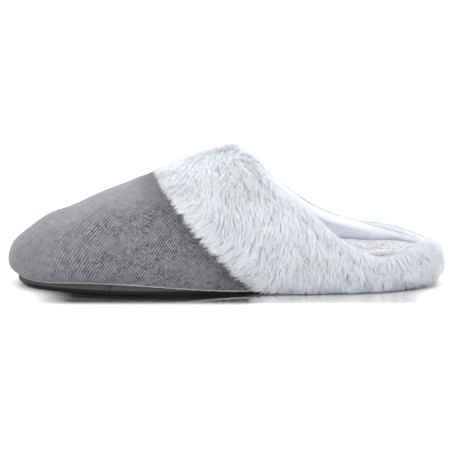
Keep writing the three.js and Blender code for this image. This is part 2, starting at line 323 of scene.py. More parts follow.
    def surface(self, t: Array, side: Array, w: Array, swell: Swell) -> Array:
        """Points of the upper's form.

        Args:
            t: place along the foot, 0 toe to 1 heel.
            side: -1 outer or 1 inner.
            w: 0 at the ridge, 1 at the widest line, 2 at the hem.
            swell: how far outside the velour's face, as a function of x.

        Returns:
            Points in millimetres, in the form's own frame.
        """
        t, side, w = np.broadcast_arrays(np.asarray(t, float), np.asarray(side, float), np.asarray(w, float))
        edge_x = self.outline(t, side)[..., 0]
        grown = swell(edge_x)
        puff = smoothstep(edge_x, -self.half, -0.3 * self.half)
        bulge = self.rim(t, side, blend(self.toe_bulge, self.side_bulge, puff) + grown)
        hem = self.rim(t, side, self.hem_offset + grown)
        share = (edge_x + self.half) / self.sole_length
        ridge_x = blend(-self.half + self.toe_ridge_inset, self.half - self.heel_ridge_inset, share)
        ridge = np.stack([ridge_x, self.centre_line(ridge_x / self.half)], -1)
        slope = (self.ridge_height(ridge_x + 1) - self.ridge_height(ridge_x - 1)) / 2
        low = blend(self.toe_bulge_height, self.side_bulge_height, puff)
        crown = np.clip(w, 0, 1) * np.pi / 2
        power = blend(self.toe_crown, 1, smoothstep(edge_x, -self.half, -0.45 * self.half))
        over = blend(ridge, bulge, (np.sin(crown) ** power)[..., None])
        rise = self.ridge_height(ridge_x) + grown - low + slope * (over[..., 0] - ridge_x)
        over_z = low + rise * np.clip(np.cos(crown), 0, 1) ** power
        tuck = np.clip(w - 1, 0, 1) * self.hem_tuck
        inward = (1 - np.cos(tuck)) / (1 - math.cos(self.hem_tuck))
        under = blend(bulge, hem, inward[..., None])
        under_z = low + (self.hem_height(edge_x) - low) * np.sin(tuck) / math.sin(self.hem_tuck)
        plan = np.where((w <= 1)[..., None], over, under)
        return np.concatenate([plan, np.where(w <= 1, over_z, under_z)[..., None]], -1)

    def grid(self, t: Array, side: Array, w: Array, swell: Swell) -> Array:
        """Points on whole columns, where w has one row for each of them."""
        return self.surface(t[:, None], side[:, None], w, swell)

    def crossing(self, t: Array, side: Array, swell: Swell, above: Callable[[Array], Array]) -> Array:
        """Where each column first passes from above a surface to below it.

        Args:
            t: columns.
            side: their sides.
            swell: the layer.
            above: positive for points on the upper part.

        Returns:
            w for each column: 0 if it starts below, 2 if it never passes.
        """
        w = np.linspace(0, 2, 321)
        value = above(self.grid(t, side, w[None], swell))
        below = value <= 0
        first = np.where(below.any(1), below.argmax(1), len(w) - 1)
        rows = np.arange(len(first))
        back = np.maximum(first - 1, 0)
        a, b = value[rows, back], value[rows, first]
        gap = np.where(np.abs(a - b) < 1e-9, 1, a - b)
        part = np.where(first > 0, np.clip(a / gap, 0, 1), 0)
        return np.where(below.any(1), w[back] + part * (w[first] - w[back]), 2.0)

    def behind_seam(self, p: Array) -> Array:
        """Distance behind the leaning cuff seam, along the foot."""
        return p[..., 0] - self.seam_x - (self.seam_height - p[..., 2]) * self.seam_lean

    def inner_face(self, inset: float) -> Swell:
        """Makes the lining's face, or one inset into the padding."""
        return lambda x: -self.cavity_depth(x) + inset

    def past_seam(self, setback: float) -> Callable[[Array], Array]:
        """Makes a measure of how far a point is behind a line set back from the seam."""
        return lambda p: self.behind_seam(p) - setback

    def above_footbed(self, sunk: float = 0) -> Callable[[Array], Array]:
        """Makes a measure of how far a point stands above a level sunk below the footbed."""
        return lambda p: p[..., 2] - self.sock_top(p[..., 0]) + sunk

    def above_topline(self, roll: float) -> Callable[[Array], Array]:
        """Makes a measure of how far a point stands above the topline less the height of its roll."""

        def measure(p: Array) -> Array:
            """Measures points.

            Args:
                p: points.

            Returns:
                Their distances above the lowered topline, square to it.
            """
            x, y = p[..., 0], p[..., 1]
            slope = (self.topline(x + 1, y) - self.topline(x - 1, y)) / 2
            return (p[..., 2] - self.topline(x, y)) / np.sqrt(1 + slope**2) + roll

        return measure

    def placed(self, p: Array) -> Array:
        """Moves form points in millimetres into the frame, in metres."""
        return (p + np.array([self.shift_x, self.shift_y, 0])) * MM


def add_object(name: str, data: Any) -> bpy.types.Object:
    """Makes an object and adds it to the scene.

    Args:
        name: its name.
        data: its mesh, camera or lamp.

    Returns:
        The object.
    """
    made = bpy.data.objects.new(name, data)
    bpy.context.scene.collection.objects.link(made)
    return made


def smooth_faces(mesh: bpy.types.Mesh) -> None:
    """Shades a mesh smooth."""
    for polygon in mesh.polygons:
        polygon.use_smooth = True


class Mesher:
    """Turns grids of points into Blender objects."""

    def __init__(self, form: SlipperForm) -> None:
        """Keeps the form whose frame the points are in."""
        self.form = form

    def surface(
        self, name: str, grid: Array, closed_rows: bool = False, traits: dict[str, Array] | None = None,
        outward: Callable[[Array], Array] | None = None,
    ) -> bpy.types.Object:
        """Makes a quad surface.

        Args:
            name: the object's name.
            grid: points, columns by rows by 3, in millimetres.
            closed_rows: joins the last row to the first.
            traits: values or vectors kept on the vertices, columns by rows.
            outward: gives for points a direction that faces should roughly follow.

        Returns:
            The new object, with points that coincide merged.
        """
        columns, rows = grid.shape[:2]
        mesh = bpy.data.meshes.new(name)
        verts = self.form.placed(grid.reshape(-1, 3))
        index = np.arange(columns * rows).reshape(columns, rows)
        nxt = np.roll(index, -1, 1) if closed_rows else index[:, 1:]
        now = index if closed_rows else index[:, :-1]
        quads = np.stack([now[:-1], now[1:], nxt[1:], nxt[:-1]], -1).reshape(-1, 4)
        mesh.from_pydata(verts.tolist(), [], quads.tolist())
        for key, values in (traits or {}).items():
            kind, field = ("FLOAT_VECTOR", "vector") if values.ndim == 3 else ("FLOAT", "value")
            attribute = mesh.attributes.new(key, kind, "POINT")
            attribute.data.foreach_set(field, values.astype(np.float32).ravel())
        work = bmesh.new()
        work.from_mesh(mesh)
        bmesh.ops.remove_doubles(work, verts=work.verts, dist=2e-5)
        bmesh.ops.dissolve_degenerate(work, edges=work.edges, dist=1e-6)
        if outward is not None:
            work.normal_update()
            centres = np.array([face.calc_center_median()[:] for face in work.faces]) / MM
            normals = np.array([face.normal[:] for face in work.faces])
            if (normals * outward(centres)).sum() < 0:
                bmesh.ops.reverse_faces(work, faces=work.faces)
        work.to_mesh(mesh)
        work.free()
        smooth_faces(mesh)
        return add_object(name, mesh)

    @staticmethod
    def settle(piece: bpy.types.Object) -> bpy.types.Object:
        """Applies a piece's modifiers and keeps its name.

        Args:
            piece: the piece.

        Returns:
            The same piece, with a plain mesh and no modifiers.
        """
        graph = bpy.context.evaluated_depsgraph_get()
        shown = piece.evaluated_get(graph)
        made = bpy.data.meshes.new_from_object(shown, preserve_all_data_layers=True, depsgraph=graph)
        old = piece.data
        piece.modifiers.clear()
        piece.data = made
        bpy.data.meshes.remove(old)
        made.name = piece.name
        return piece

    def shell(self, piece: bpy.types.Object, thickness: float) -> bpy.types.Object:
        """Gives an open surface a wall on its inner side.

        Args:
            piece: the open surface.
            thickness: the wall's thickness.

        Returns:
            The same piece, closed.
        """
        wall = piece.modifiers.new("wall", "SOLIDIFY")
        wall.thickness = thickness * MM
        wall.offset = -1
        return self.settle(piece)

    def solid(self, piece: bpy.types.Object) -> bpy.types.Object:
        """Closes a piece's open ends and turns its faces outwards.

        Args:
            piece: a tube or another surface with open ends.

        Returns:
            The same piece, closed.
        """
        work = bmesh.new()
        work.from_mesh(piece.data)
        open_edges = [edge for edge in work.edges if edge.is_boundary]
        if open_edges:
            bmesh.ops.holes_fill(work, edges=open_edges, sides=0)
        bmesh.ops.recalc_face_normals(work, faces=work.faces)
        work.to_mesh(piece.data)
        work.free()
        return piece


def away_from(height: float) -> Callable[[Array], Array]:
    """Makes directions that point away from the middle of the foot at a height."""

    def directions(points: Array) -> Array:
        """Directions for points in the frame."""
        middle = np.stack([points[:, 0] * 0.75, np.zeros(len(points)), np.full(len(points), height)], -1)
        return points - middle

    return directions


def towards(height: float) -> Callable[[Array], Array]:
    """Makes directions that point into the middle of the foot at a height."""
    away = away_from(height)
    return lambda points: -away(points)


class Value:
    """A shader or geometry socket that takes part in Python arithmetic."""

    def __init__(self, sheet: "NodeSheet", socket: Any) -> None:
        """Wraps a socket of a node sheet."""
        self.sheet = sheet
        self.socket = socket

    def maths(self, operation: str, *values: Any, clamp: bool = False) -> "Value":
        """Adds one Math node."""
        inputs = {i: value for i, value in enumerate(values)}
        return self.sheet.add("ShaderNodeMath", {"operation": operation, "use_clamp": clamp}, inputs)

    def __add__(self, other: Any) -> "Value":
        """Sum."""
        return self.maths("ADD", self, other)

    __radd__ = __add__

    def __mul__(self, other: Any) -> "Value":
        """Product."""
        return self.maths("MULTIPLY", self, other)

    __rmul__ = __mul__

    def __sub__(self, other: Any) -> "Value":
        """Difference."""
        return self.maths("SUBTRACT", self, other)

    def __rsub__(self, other: Any) -> "Value":
        """Reflected difference."""
        return self.maths("SUBTRACT", other, self)

    def __truediv__(self, other: Any) -> "Value":
        """Quotient."""
        return self.maths("DIVIDE", self, other)

    def clamped(self) -> "Value":
        """The value held between 0 and 1."""
        return self.maths("ADD", self, 0.0, clamp=True)

    def sine(self) -> "Value":
        """The sine of the value."""
        return self.maths("SINE", self)

    def size(self) -> "Value":
        """The value without its sign."""
        return self.maths("ABSOLUTE", self)

    def eased(self, low: float, high: float) -> "Value":
        """Eases the value.

        Args:
            low: where it is 0.
            high: where it is 1.

        Returns:
            A value that rises smoothly from 0 to 1.
        """
        settings = {"interpolation_type": "SMOOTHSTEP"}
        inputs = {"Value": self, "From Min": low, "From Max": high}
        return self.sheet.add("ShaderNodeMapRange", settings, inputs)


class NodeSheet:
    """One node tree and the ways to add to it."""

    def __init__(self, tree: Any) -> None:
        """Starts on an empty tree."""
        self.tree = tree

    def add(self, kind: str, settings: dict[str, Any] | None = None, inputs: dict[Any, Any] | None = None,
            output: Any = 0) -> Value:
        """Adds a node.

        Args:
            kind: its type name.
            settings: its properties, set before its sockets.
            inputs: socket names or numbers to values or links.
            output: which of its outputs to give back.

        Returns:
            The output, ready for arithmetic.
        """
        node = self.tree.nodes.new(kind)
        for key, value in (settings or {}).items():
            setattr(node, key, value)
        for key, value in (inputs or {}).items():
            self.plug(node.inputs[key], value)
        outputs = [socket for socket in node.outputs if socket.enabled]
        return Value(self, outputs[output] if isinstance(output, int) else node.outputs[output])

    def plug(self, socket: Any, value: Any) -> None:
        """Links or sets one input socket."""
        if isinstance(value, Value):
            self.tree.links.new(value.socket, socket)
        else:
            socket.default_value = value

    def mix(self, share: Any, a: Any, b: Any) -> Value:
        """Mixes two colours, given as links or as red, green and blue.

        Args:
            share: how much of b.
            a: the first colour.
            b: the second colour.

        Returns:
            The mixed colour.
        """
        node = self.tree.nodes.new("ShaderNodeMix")
        node.data_type = "RGBA"
        self.plug(node.inputs["Factor"], share)
        for socket, colour in ((node.inputs[6], a), (node.inputs[7], b)):
            self.plug(socket, colour if isinstance(colour, Value) else (*colour, 1.0))
        return Value(self, node.outputs[2])

    def trait(self, name: str) -> Value:
        """Reads a value kept on the mesh."""
        return self.add("ShaderNodeAttribute", {"attribute_name": name}, output="Fac")

    def place(self) -> Value:
        """Object coordinates, in metres."""
        return self.add("ShaderNodeTexCoord", output="Object")

    def axes(self, vector: Value) -> tuple[Value, ...]:
        """Splits a vector into its three numbers."""
        node = self.add("ShaderNodeSeparateXYZ", None, {0: vector}).socket.node
        return tuple(Value(self, socket) for socket in node.outputs)

    def noise(self, size: float, detail: float = 3, rough: float = 0.55) -> Value:
        """Noise with features of a size in millimetres."""
        inputs = {"Vector": self.place(), "Scale": 1 / (size * MM), "Detail": detail, "Roughness": rough}
        return self.add("ShaderNodeTexNoise", None, inputs)

    def bump(self, height: Value, depth: float, below: Value | None = None) -> Value:
        """Turns a height into a normal.

        Args:
            height: from 0 to 1.
            depth: what a height of 1 stands for, in millimetres.
            below: the normal that the bumps lie on.

        Returns:
            The normal.
        """
        inputs: dict[Any, Any] = {"Height": height, "Distance": depth * MM, "Strength": 1.0}
        if below is not None:
            inputs["Normal"] = below
        return self.add("ShaderNodeBump", None, inputs)

    def vector(self, operation: str, a: Any, b: Any) -> Value:
        """Adds one Vector Math node, where b is a factor if the operation is SCALE."""
        second = "Scale" if operation == "SCALE" else 1
        return self.add("ShaderNodeVectorMath", {"operation": operation}, {0: a, second: b})

    def random(self, low: Any, high: Any, seed: Value) -> Value:
        """Draws at random for each point.

        Args:
            low: the least number, or the least vector.
            high: the most.
            seed: fixes the draw.

        Returns:
            A random number, or a random vector.
        """
        kind, first = ("FLOAT_VECTOR", 0) if isinstance(low, tuple) else ("FLOAT", 2)
        inputs = {first: low, first + 1: high, "Seed": seed}
        return self.add("FunctionNodeRandomValue", {"data_type": kind}, inputs)

    def jitter(self, reach: float, seed: Value) -> Value:
        """A random vector that reaches as far each way on every axis."""
        return self.random((-reach,) * 3, (reach,) * 3, seed)

    def scatter(self, faces: Value, density: Any, seed: Value) -> Value:
        """Scatters points on faces, so many to the square metre."""
        inputs = {"Mesh": faces, "Density": density, "Seed": seed}
        return self.add("GeometryNodeDistributePointsOnFaces", {"distribute_method": "RANDOM"}, inputs)

    def kept(self, name: str, kind: str) -> Value:
        """Reads a value kept on the geometry."""
        return self.add("GeometryNodeInputNamedAttribute", {"data_type": kind}, {"Name": name})

    def keep(self, geometry: Value, name: str, value: Any, kind: str, domain: str) -> Value:
        """Keeps a value on the geometry under a name."""
        inputs = {"Geometry": geometry, "Name": name, "Value": value}
        return self.add("GeometryNodeStoreNamedAttribute", {"data_type": kind, "domain": domain}, inputs)


@dataclass(frozen=True)
class Finish:
    """A surface finish: its name and what is the same all over it."""

    name: str
    sheen: float = 0.0
    sheen_roughness: float = 0.5
    specular: float = 0.3

    def look(self, sheet: NodeSheet) -> Looks:
        """What varies over the surface, by the name of the shader's input."""
        raise NotImplementedError

    def make(self) -> bpy.types.Material:
        """Builds the material.

        Returns:
            The material, with the look linked into its Principled node.
        """
        material = bpy.data.materials.new(self.name)
        material.use_nodes = True
        tree = material.node_tree
        tree.nodes.clear()
        output = tree.nodes.new("ShaderNodeOutputMaterial")
        shader = tree.nodes.new("ShaderNodeBsdfPrincipled")
        tree.links.new(shader.outputs[0], output.inputs[0])
        shader.inputs["Sheen Weight"].default_value = self.sheen
        shader.inputs["Sheen Roughness"].default_value = self.sheen_roughness
        shader.inputs["Specular IOR Level"].default_value = self.specular
        sheet = NodeSheet(tree)
        for socket, value in self.look(sheet).items():
            sheet.plug(shader.inputs[socket], value)
        return material


@dataclass(frozen=True)
class VelourFinish(Finish):
    """Ribbed velour: fine slanting ribs low down, a brushed nap over the top, painted paler there partly as
    painted top light.
    """

    dark: Colour = (0.045, 0.042, 0.052)
    light: Colour = (0.32, 0.305, 0.34)
    # the nap is painted paler than the ribbed velour, partly as painted top light over the top of the toe
    nap: Colour = (0.27, 0.258, 0.285)
    rib_pitch: float = 1.45

    def look(self, sheet: NodeSheet) -> Looks:
        """Ribs in broken dashes, mottled and a little darker at the toe.

        Args:
            sheet: the material's nodes.

        Returns:
            Colour, roughness and normal.
        """
        wander = sheet.noise(9, 2) - 0.5
        phase = sheet.trait("rib") * (2 * math.pi / (self.rib_pitch * MM)) + wander * 3.2
        wave = phase.sine() * 0.5 + 0.5
        grain = sheet.noise(0.7, 2, 0.6)
        dashes = sheet.noise(1.5, 2, 0.65).eased(0.32, 0.68)
        rib = (wave * (dashes * 0.85 + 0.15)).clamped()
        cloud = sheet.noise(13, 4, 0.62)
        mottle = sheet.noise(4.2, 4, 0.62)
        strength = (sheet.trait("ribbed") * (cloud.eased(0.3, 0.62) * 0.75 + 0.35)).clamped()
        tone = strength * (rib - 0.34) * 1.3 + (grain - 0.5) * 0.85
        tone = tone + (mottle - 0.5) * 1.1 + (cloud - 0.5) * 0.9
        ribbed = sheet.mix((tone + 0.44).clamped(), self.dark, self.light)
        napped = sheet.mix((mottle - 0.5) * 0.9 + 0.5, self.dark, self.light)
        # the napped top is painted paler than the ribs, partly as painted top light
        base = sheet.mix(strength * 0.75 + 0.25, sheet.mix(0.6, napped, self.nap), ribbed)
        x, _, _ = sheet.axes(sheet.place())
        base = sheet.mix((1 - x.eased(-0.13, -0.07)) * 0.1 + 0.025, base, (0.0, 0.0, 0.0))
        base = sheet.mix(sheet.trait("shade") * 0.55, base, self.dark)
        height = rib * (strength * 0.85 + 0.15) + grain * 0.4
        normal = sheet.bump(height, 0.42, sheet.bump(mottle, 0.5))
        return {"Base Color": base, "Roughness": 0.95 - rib * 0.12, "Normal": normal}


@dataclass(frozen=True)
class SuedeFinish(Finish):
    """Matte cloth, with a join across it and a near-black foot painted as contact shade that also stands for
    the dark rubber edge; join_x and foot are in metres.
    """

    base: Colour = (0.062, 0.056, 0.058)
    worn: Colour = (0.094, 0.086, 0.088)
    join_x: float = -0.069
    # foot: the height below which the cloth is painted near-black as contact shade
    foot: float = -1.0

    def look(self, sheet: NodeSheet) -> Looks:
        """Suede-like cloth.

        Args:
            sheet: the material's nodes.

        Returns:
            Colour, roughness and normal.
        """
        fine = sheet.noise(0.5, 3, 0.65)
        broad = sheet.noise(11, 3)
        x, y, z = sheet.axes(sheet.place())
        join = (1 - (x - self.join_x).size().eased(0.0002, 0.0006)) * (1 - y.eased(-0.02, 0.0))
        base = sheet.mix((fine * 0.6 + broad * 0.6 - 0.1).clamped(), self.base, self.worn)
        base = sheet.mix(join * 0.75, base, (0.03, 0.028, 0.028))
        # painted contact shade: the lowest millimetres turn near-black, also standing for the dark rubber
        # edge
        low = 1 - z.eased(self.foot - 0.0006, self.foot + 0.0008)
        base = sheet.mix(low * 0.95, base, (0.006, 0.006, 0.007))
        normal = sheet.bump(fine - join * 0.8, 0.18)
        return {"Base Color": base, "Roughness": fine * 0.15 + 0.8, "Normal": normal}


@dataclass(frozen=True)
class RubberFinish(Finish):
    """Matte moulded rubber, a little dusty where it is touched."""

    base: Colour = (0.005, 0.005, 0.005)
    dusty: Colour = (0.01, 0.01, 0.01)

    def look(self, sheet: NodeSheet) -> Looks:
        """Pores and dust.

        Args:
            sheet: the material's nodes.

        Returns:
            Colour, roughness and normal.
        """
        dust = sheet.noise(7, 4, 0.6)
        base = sheet.mix(dust.eased(0.35, 0.75), self.base, self.dusty)
        pores = sheet.bump(sheet.noise(0.4, 2, 0.7), 0.08)
        return {"Base Color": base, "Roughness": dust * 0.25 + 0.55, "Normal": pores}


@dataclass(frozen=True)
class PlushFinish(Finish):
    """Short smooth plush with a soft nap."""

    base: Colour = (0.66, 0.7, 0.8)
    light: Colour = (0.84, 0.87, 0.93)
    deep: Colour = (0.36, 0.39, 0.45)
    # painted shadow, pinkish grey, along the crease on the rolled edge
    creased: Colour = (0.5, 0.46, 0.47)
    nap_size: float = 0.55
    clump_size: float = 3.2
    depth: float = 0.5

    def look(self, sheet: NodeSheet) -> Looks:
        """Clumped nap, deeper in the painted shade and darker and pinker in the crease as painted crease
        shadow.

        Args:
            sheet: the material's nodes.

        Returns:
            Colour, roughness and normal.
        """
        nap = sheet.noise(self.nap_size, 3, 0.65)
        clumps = sheet.noise(self.clump_size, 3, 0.6)
        tone = (nap * 0.55 + clumps * 0.5 + sheet.noise(16, 2) * 0.35 - 0.2).clamped()
        shaded = sheet.mix(sheet.trait("shade"), sheet.mix(tone, self.base, self.light), self.deep)
        # painted crease shadow along the rolled edge's crease
        base = sheet.mix(sheet.trait("crease"), shaded, self.creased)
        normal = sheet.bump(nap, self.depth * 0.6, sheet.bump(clumps, self.depth))
        return {"Base Color": base, "Roughness": 0.98 - nap * 0.12, "Normal": normal}


@dataclass(frozen=True)
class PileFinish(Finish):
    """Long-pile strands: blue-grey at the root, nearly white at the tip."""

    root: Colour = (0.84, 0.87, 0.935)
    tip: Colour = (0.955, 0.975, 1.0)
    cool: Colour = (0.87, 0.905, 0.96)

    def look(self, sheet: NodeSheet) -> Looks:
        """Strands with random tints that differ more and darken near the floor as painted shade, and are
        palest over the crest as painted top light.

        Args:
            sheet: the material's nodes.

        Returns:
            Colour and roughness.
        """
        tint = sheet.trait("tint")
        patches = sheet.noise(13, 3, 0.6).eased(0.38, 0.68)
        _, _, z = sheet.axes(sheet.place())
        # painted shade near the floor: more strands turn cool or root-coloured there, and higher up the
        # random tints are damped as painted light
        low = 1 - z.eased(0.008, 0.05)
        tip = sheet.mix((tint * (low * 0.35 + 0.3) + patches * 0.4).clamped(), self.tip, self.cool)
        tip = sheet.mix(tint.eased(0.72, 1.0) * low * 0.4, tip, self.root)
        # painted top light: roots turn nearly as pale as the tips over the crest
        root = sheet.mix(z.eased(0.045, 0.075) * 0.8, self.root, self.tip)
        base = sheet.mix(sheet.trait("along").eased(0.0, 0.75), root, tip)
        return {"Base Color": base, "Roughness": 0.75 - tint * 0.15}


@dataclass(frozen=True)
class FoamFinish(Finish):
    """Open or closed cell foam, or board, for the layers inside."""

    base: Colour = (0.78, 0.72, 0.58)
    light: Colour = (0.88, 0.84, 0.74)
    cell: float = 0.8

    def look(self, sheet: NodeSheet) -> Looks:
        """Cells, and broad changes of tone.

        Args:
            sheet: the material's nodes.

        Returns:
            Colour, roughness and normal.
        """
        inputs = {"Vector": sheet.place(), "Scale": 1 / (self.cell * MM)}
        cells = sheet.add("ShaderNodeTexVoronoi", None, inputs)
        broad = sheet.noise(12, 2)
        base = sheet.mix((cells * 0.6 + broad * 0.5).clamped(), self.base, self.light)
        return {"Base Color": base, "Roughness": broad * 0.1 + 0.85, "Normal": sheet.bump(cells, 0.25)}


@dataclass(frozen=True)
class TableFinish(Finish):
    """A pale table, polished in front of the slipper, where it mirrors the sole."""

    base: Colour = (0.92, 0.92, 0.925)
    light: Colour = (0.93, 0.93, 0.93)

    def look(self, sheet: NodeSheet) -> Looks:
        """A polished patch, stronger before the dark sole than before the fur.

        Args:
            sheet: the material's nodes.

        Returns:
            Colour, metallic and roughness.
        """
        x, y, _ = sheet.axes(sheet.place())
        front = y.eased(-0.078, -0.06) * (1 - y.eased(-0.02, 0.0))
        under_sole = 1 - ((x + 0.046) / 0.07).size().eased(0.8, 1.08)
        under_fur = 1 - ((x - 0.008) / 0.12).size().eased(0.8, 1.0)
        polish = front * (under_sole * 0.38 + under_fur * 0.62)
        base = sheet.mix(sheet.noise(160, 2), self.base, self.light)
        return {"Base Color": base, "Metallic": polish, "Roughness": 0.3 - polish * 0.22}


@dataclass(frozen=True)
class Sizes:
    """How finely the pieces are divided."""

    columns: int = 190
    rows: int = 46
    roll_rows: int = 12


def columns_between(start: float, end: float, count: int) -> Array:
    """Places along the foot, closer together near both ends."""
    s = np.linspace(0, 1, count)
    return start + (end - start) * blend(s, 0.5 - 0.5 * np.cos(np.pi * s), 0.6)


def there_and_back(start: float, count: int) -> tuple[Array, Array]:
    """Columns down the outer side to the heel and back along the inner side.

    Args:
        start: the first column.
        count: columns on one side, with the one at the heel.

    Returns:
        The columns and their sides.
    """
    half = columns_between(start, 1, count)
    side = np.concatenate([np.full(count, -1.0), np.full(count - 1, 1.0)])
    return np.concatenate([half, half[::-1][1:]]), side


def round_toe(last: float, count: int) -> tuple[Array, Array]:
    """Columns from the outer side round the toe to the inner side.

    Args:
        last: the column on each side furthest from the toe.
        count: columns in all.

    Returns:
        The columns and their sides.
    """
    u = np.linspace(-1, 1, count)
    return np.abs(u) * last, np.where(u < 0, -1.0, 1.0)


@dataclass
class Collar:
    """The sections of the padded collar and cuff: outside, rolled top edge and inside."""

    form: SlipperForm
    roll: float = 5.0
    fur_face: float = 0.5
    sizes: Sizes = Sizes()

    def outside(self, inset: float = 0.0) -> Swell:
        """The face under the pile, or one inset from it."""
        return level(self.fur_face - inset)

    def inside(self, inset: float = 0.0) -> Swell:
        """The lining's face, or one inset into the padding."""
        return self.form.inner_face(inset)

    def throat_t(self) -> float:
        """The first column that the foot opening cuts.

        Returns:
            Its place along the foot.
        """
        t = np.linspace(0.2, 0.8, 1200)
        ridge = self.form.surface(t, np.full(t.shape, 1.0), np.zeros(t.shape), self.outside())
        cut = self.form.above_topline(self.roll)(ridge) > 0
        return float(t[int(cut.argmax())])

    def ends(self, t: Array, side: Array, inset: float = 0.0) -> tuple[Array, Array, Array]:
        """Where the straight walls meet the rolled edge.

        Args:
            t: columns.
            side: their sides.
            inset: how far inside the skins.

        Returns:
            w of the outer wall's top, w of the inner wall's top, and the roll's direction.
        """
        cut = self.form.above_topline(self.roll + inset)
        w_out = self.form.crossing(t, side, self.outside(inset), cut)
        w_out = np.where(t <= self.throat_t() + 1e-9, 0.0, w_out)
        w_in = self.form.crossing(t, side, self.inside(inset), cut)
        top = self.form.surface(t, side, w_out, self.outside(inset))
        x, y = top[:, 0], top[:, 1]
        slope = (self.form.topline(x + 1, y) - self.form.topline(x - 1, y)) / 2
        tilt = (self.form.topline(x, y + 1) - self.form.topline(x, y - 1)) / 2
        up = np.stack([-slope, -tilt, np.ones(len(t))], -1)
        return w_out, w_in, up / np.linalg.norm(up, axis=-1, keepdims=True)

    def crease(self, t: Array) -> Array:
        """The angle over the rolled edge where pile gives way to lining, further in at the heel."""
        x = -self.form.half * np.cos(np.pi * t)
        return np.radians(blend(100, 134, smoothstep(x, 70, 118)))

    def rolled(
        self, t: Array, side: Array, start: float | Array, end: float | Array, inset: float = 0.0
    ) -> Array:
        """Points over the rolled edge.

        Args:
            t: columns.
            side: their sides.
            start: angle to start from, 0 at the outer wall.
            end: angle to end at, pi at the inner wall.
            inset: how far inside the skins.

        Returns:
            A grid of points, columns by rows by 3.
        """
        w_out, w_in, up = self.ends(t, side, inset)
        a = self.form.surface(t, side, w_out, self.outside(inset))
        b = self.form.surface(t, side, w_in, self.inside(inset))
        across = (b - a) / 2
        length = np.linalg.norm(across, axis=-1, keepdims=True)
        flat = across / np.maximum(length, 1e-9)
        up = up - flat * (up * flat).sum(-1, keepdims=True)
        up /= np.linalg.norm(up, axis=-1, keepdims=True)
        share = np.linspace(0, 1, self.sizes.roll_rows)[None, :, None]
        first, last = (np.broadcast_to(value, t.shape)[:, None, None] for value in (start, end))
        angle = blend(first, last, share)
        middle = ((a + b) / 2)[:, None]
        return middle - across[:, None] * np.cos(angle) + up[:, None] * (self.roll - 0.4) * np.sin(angle)


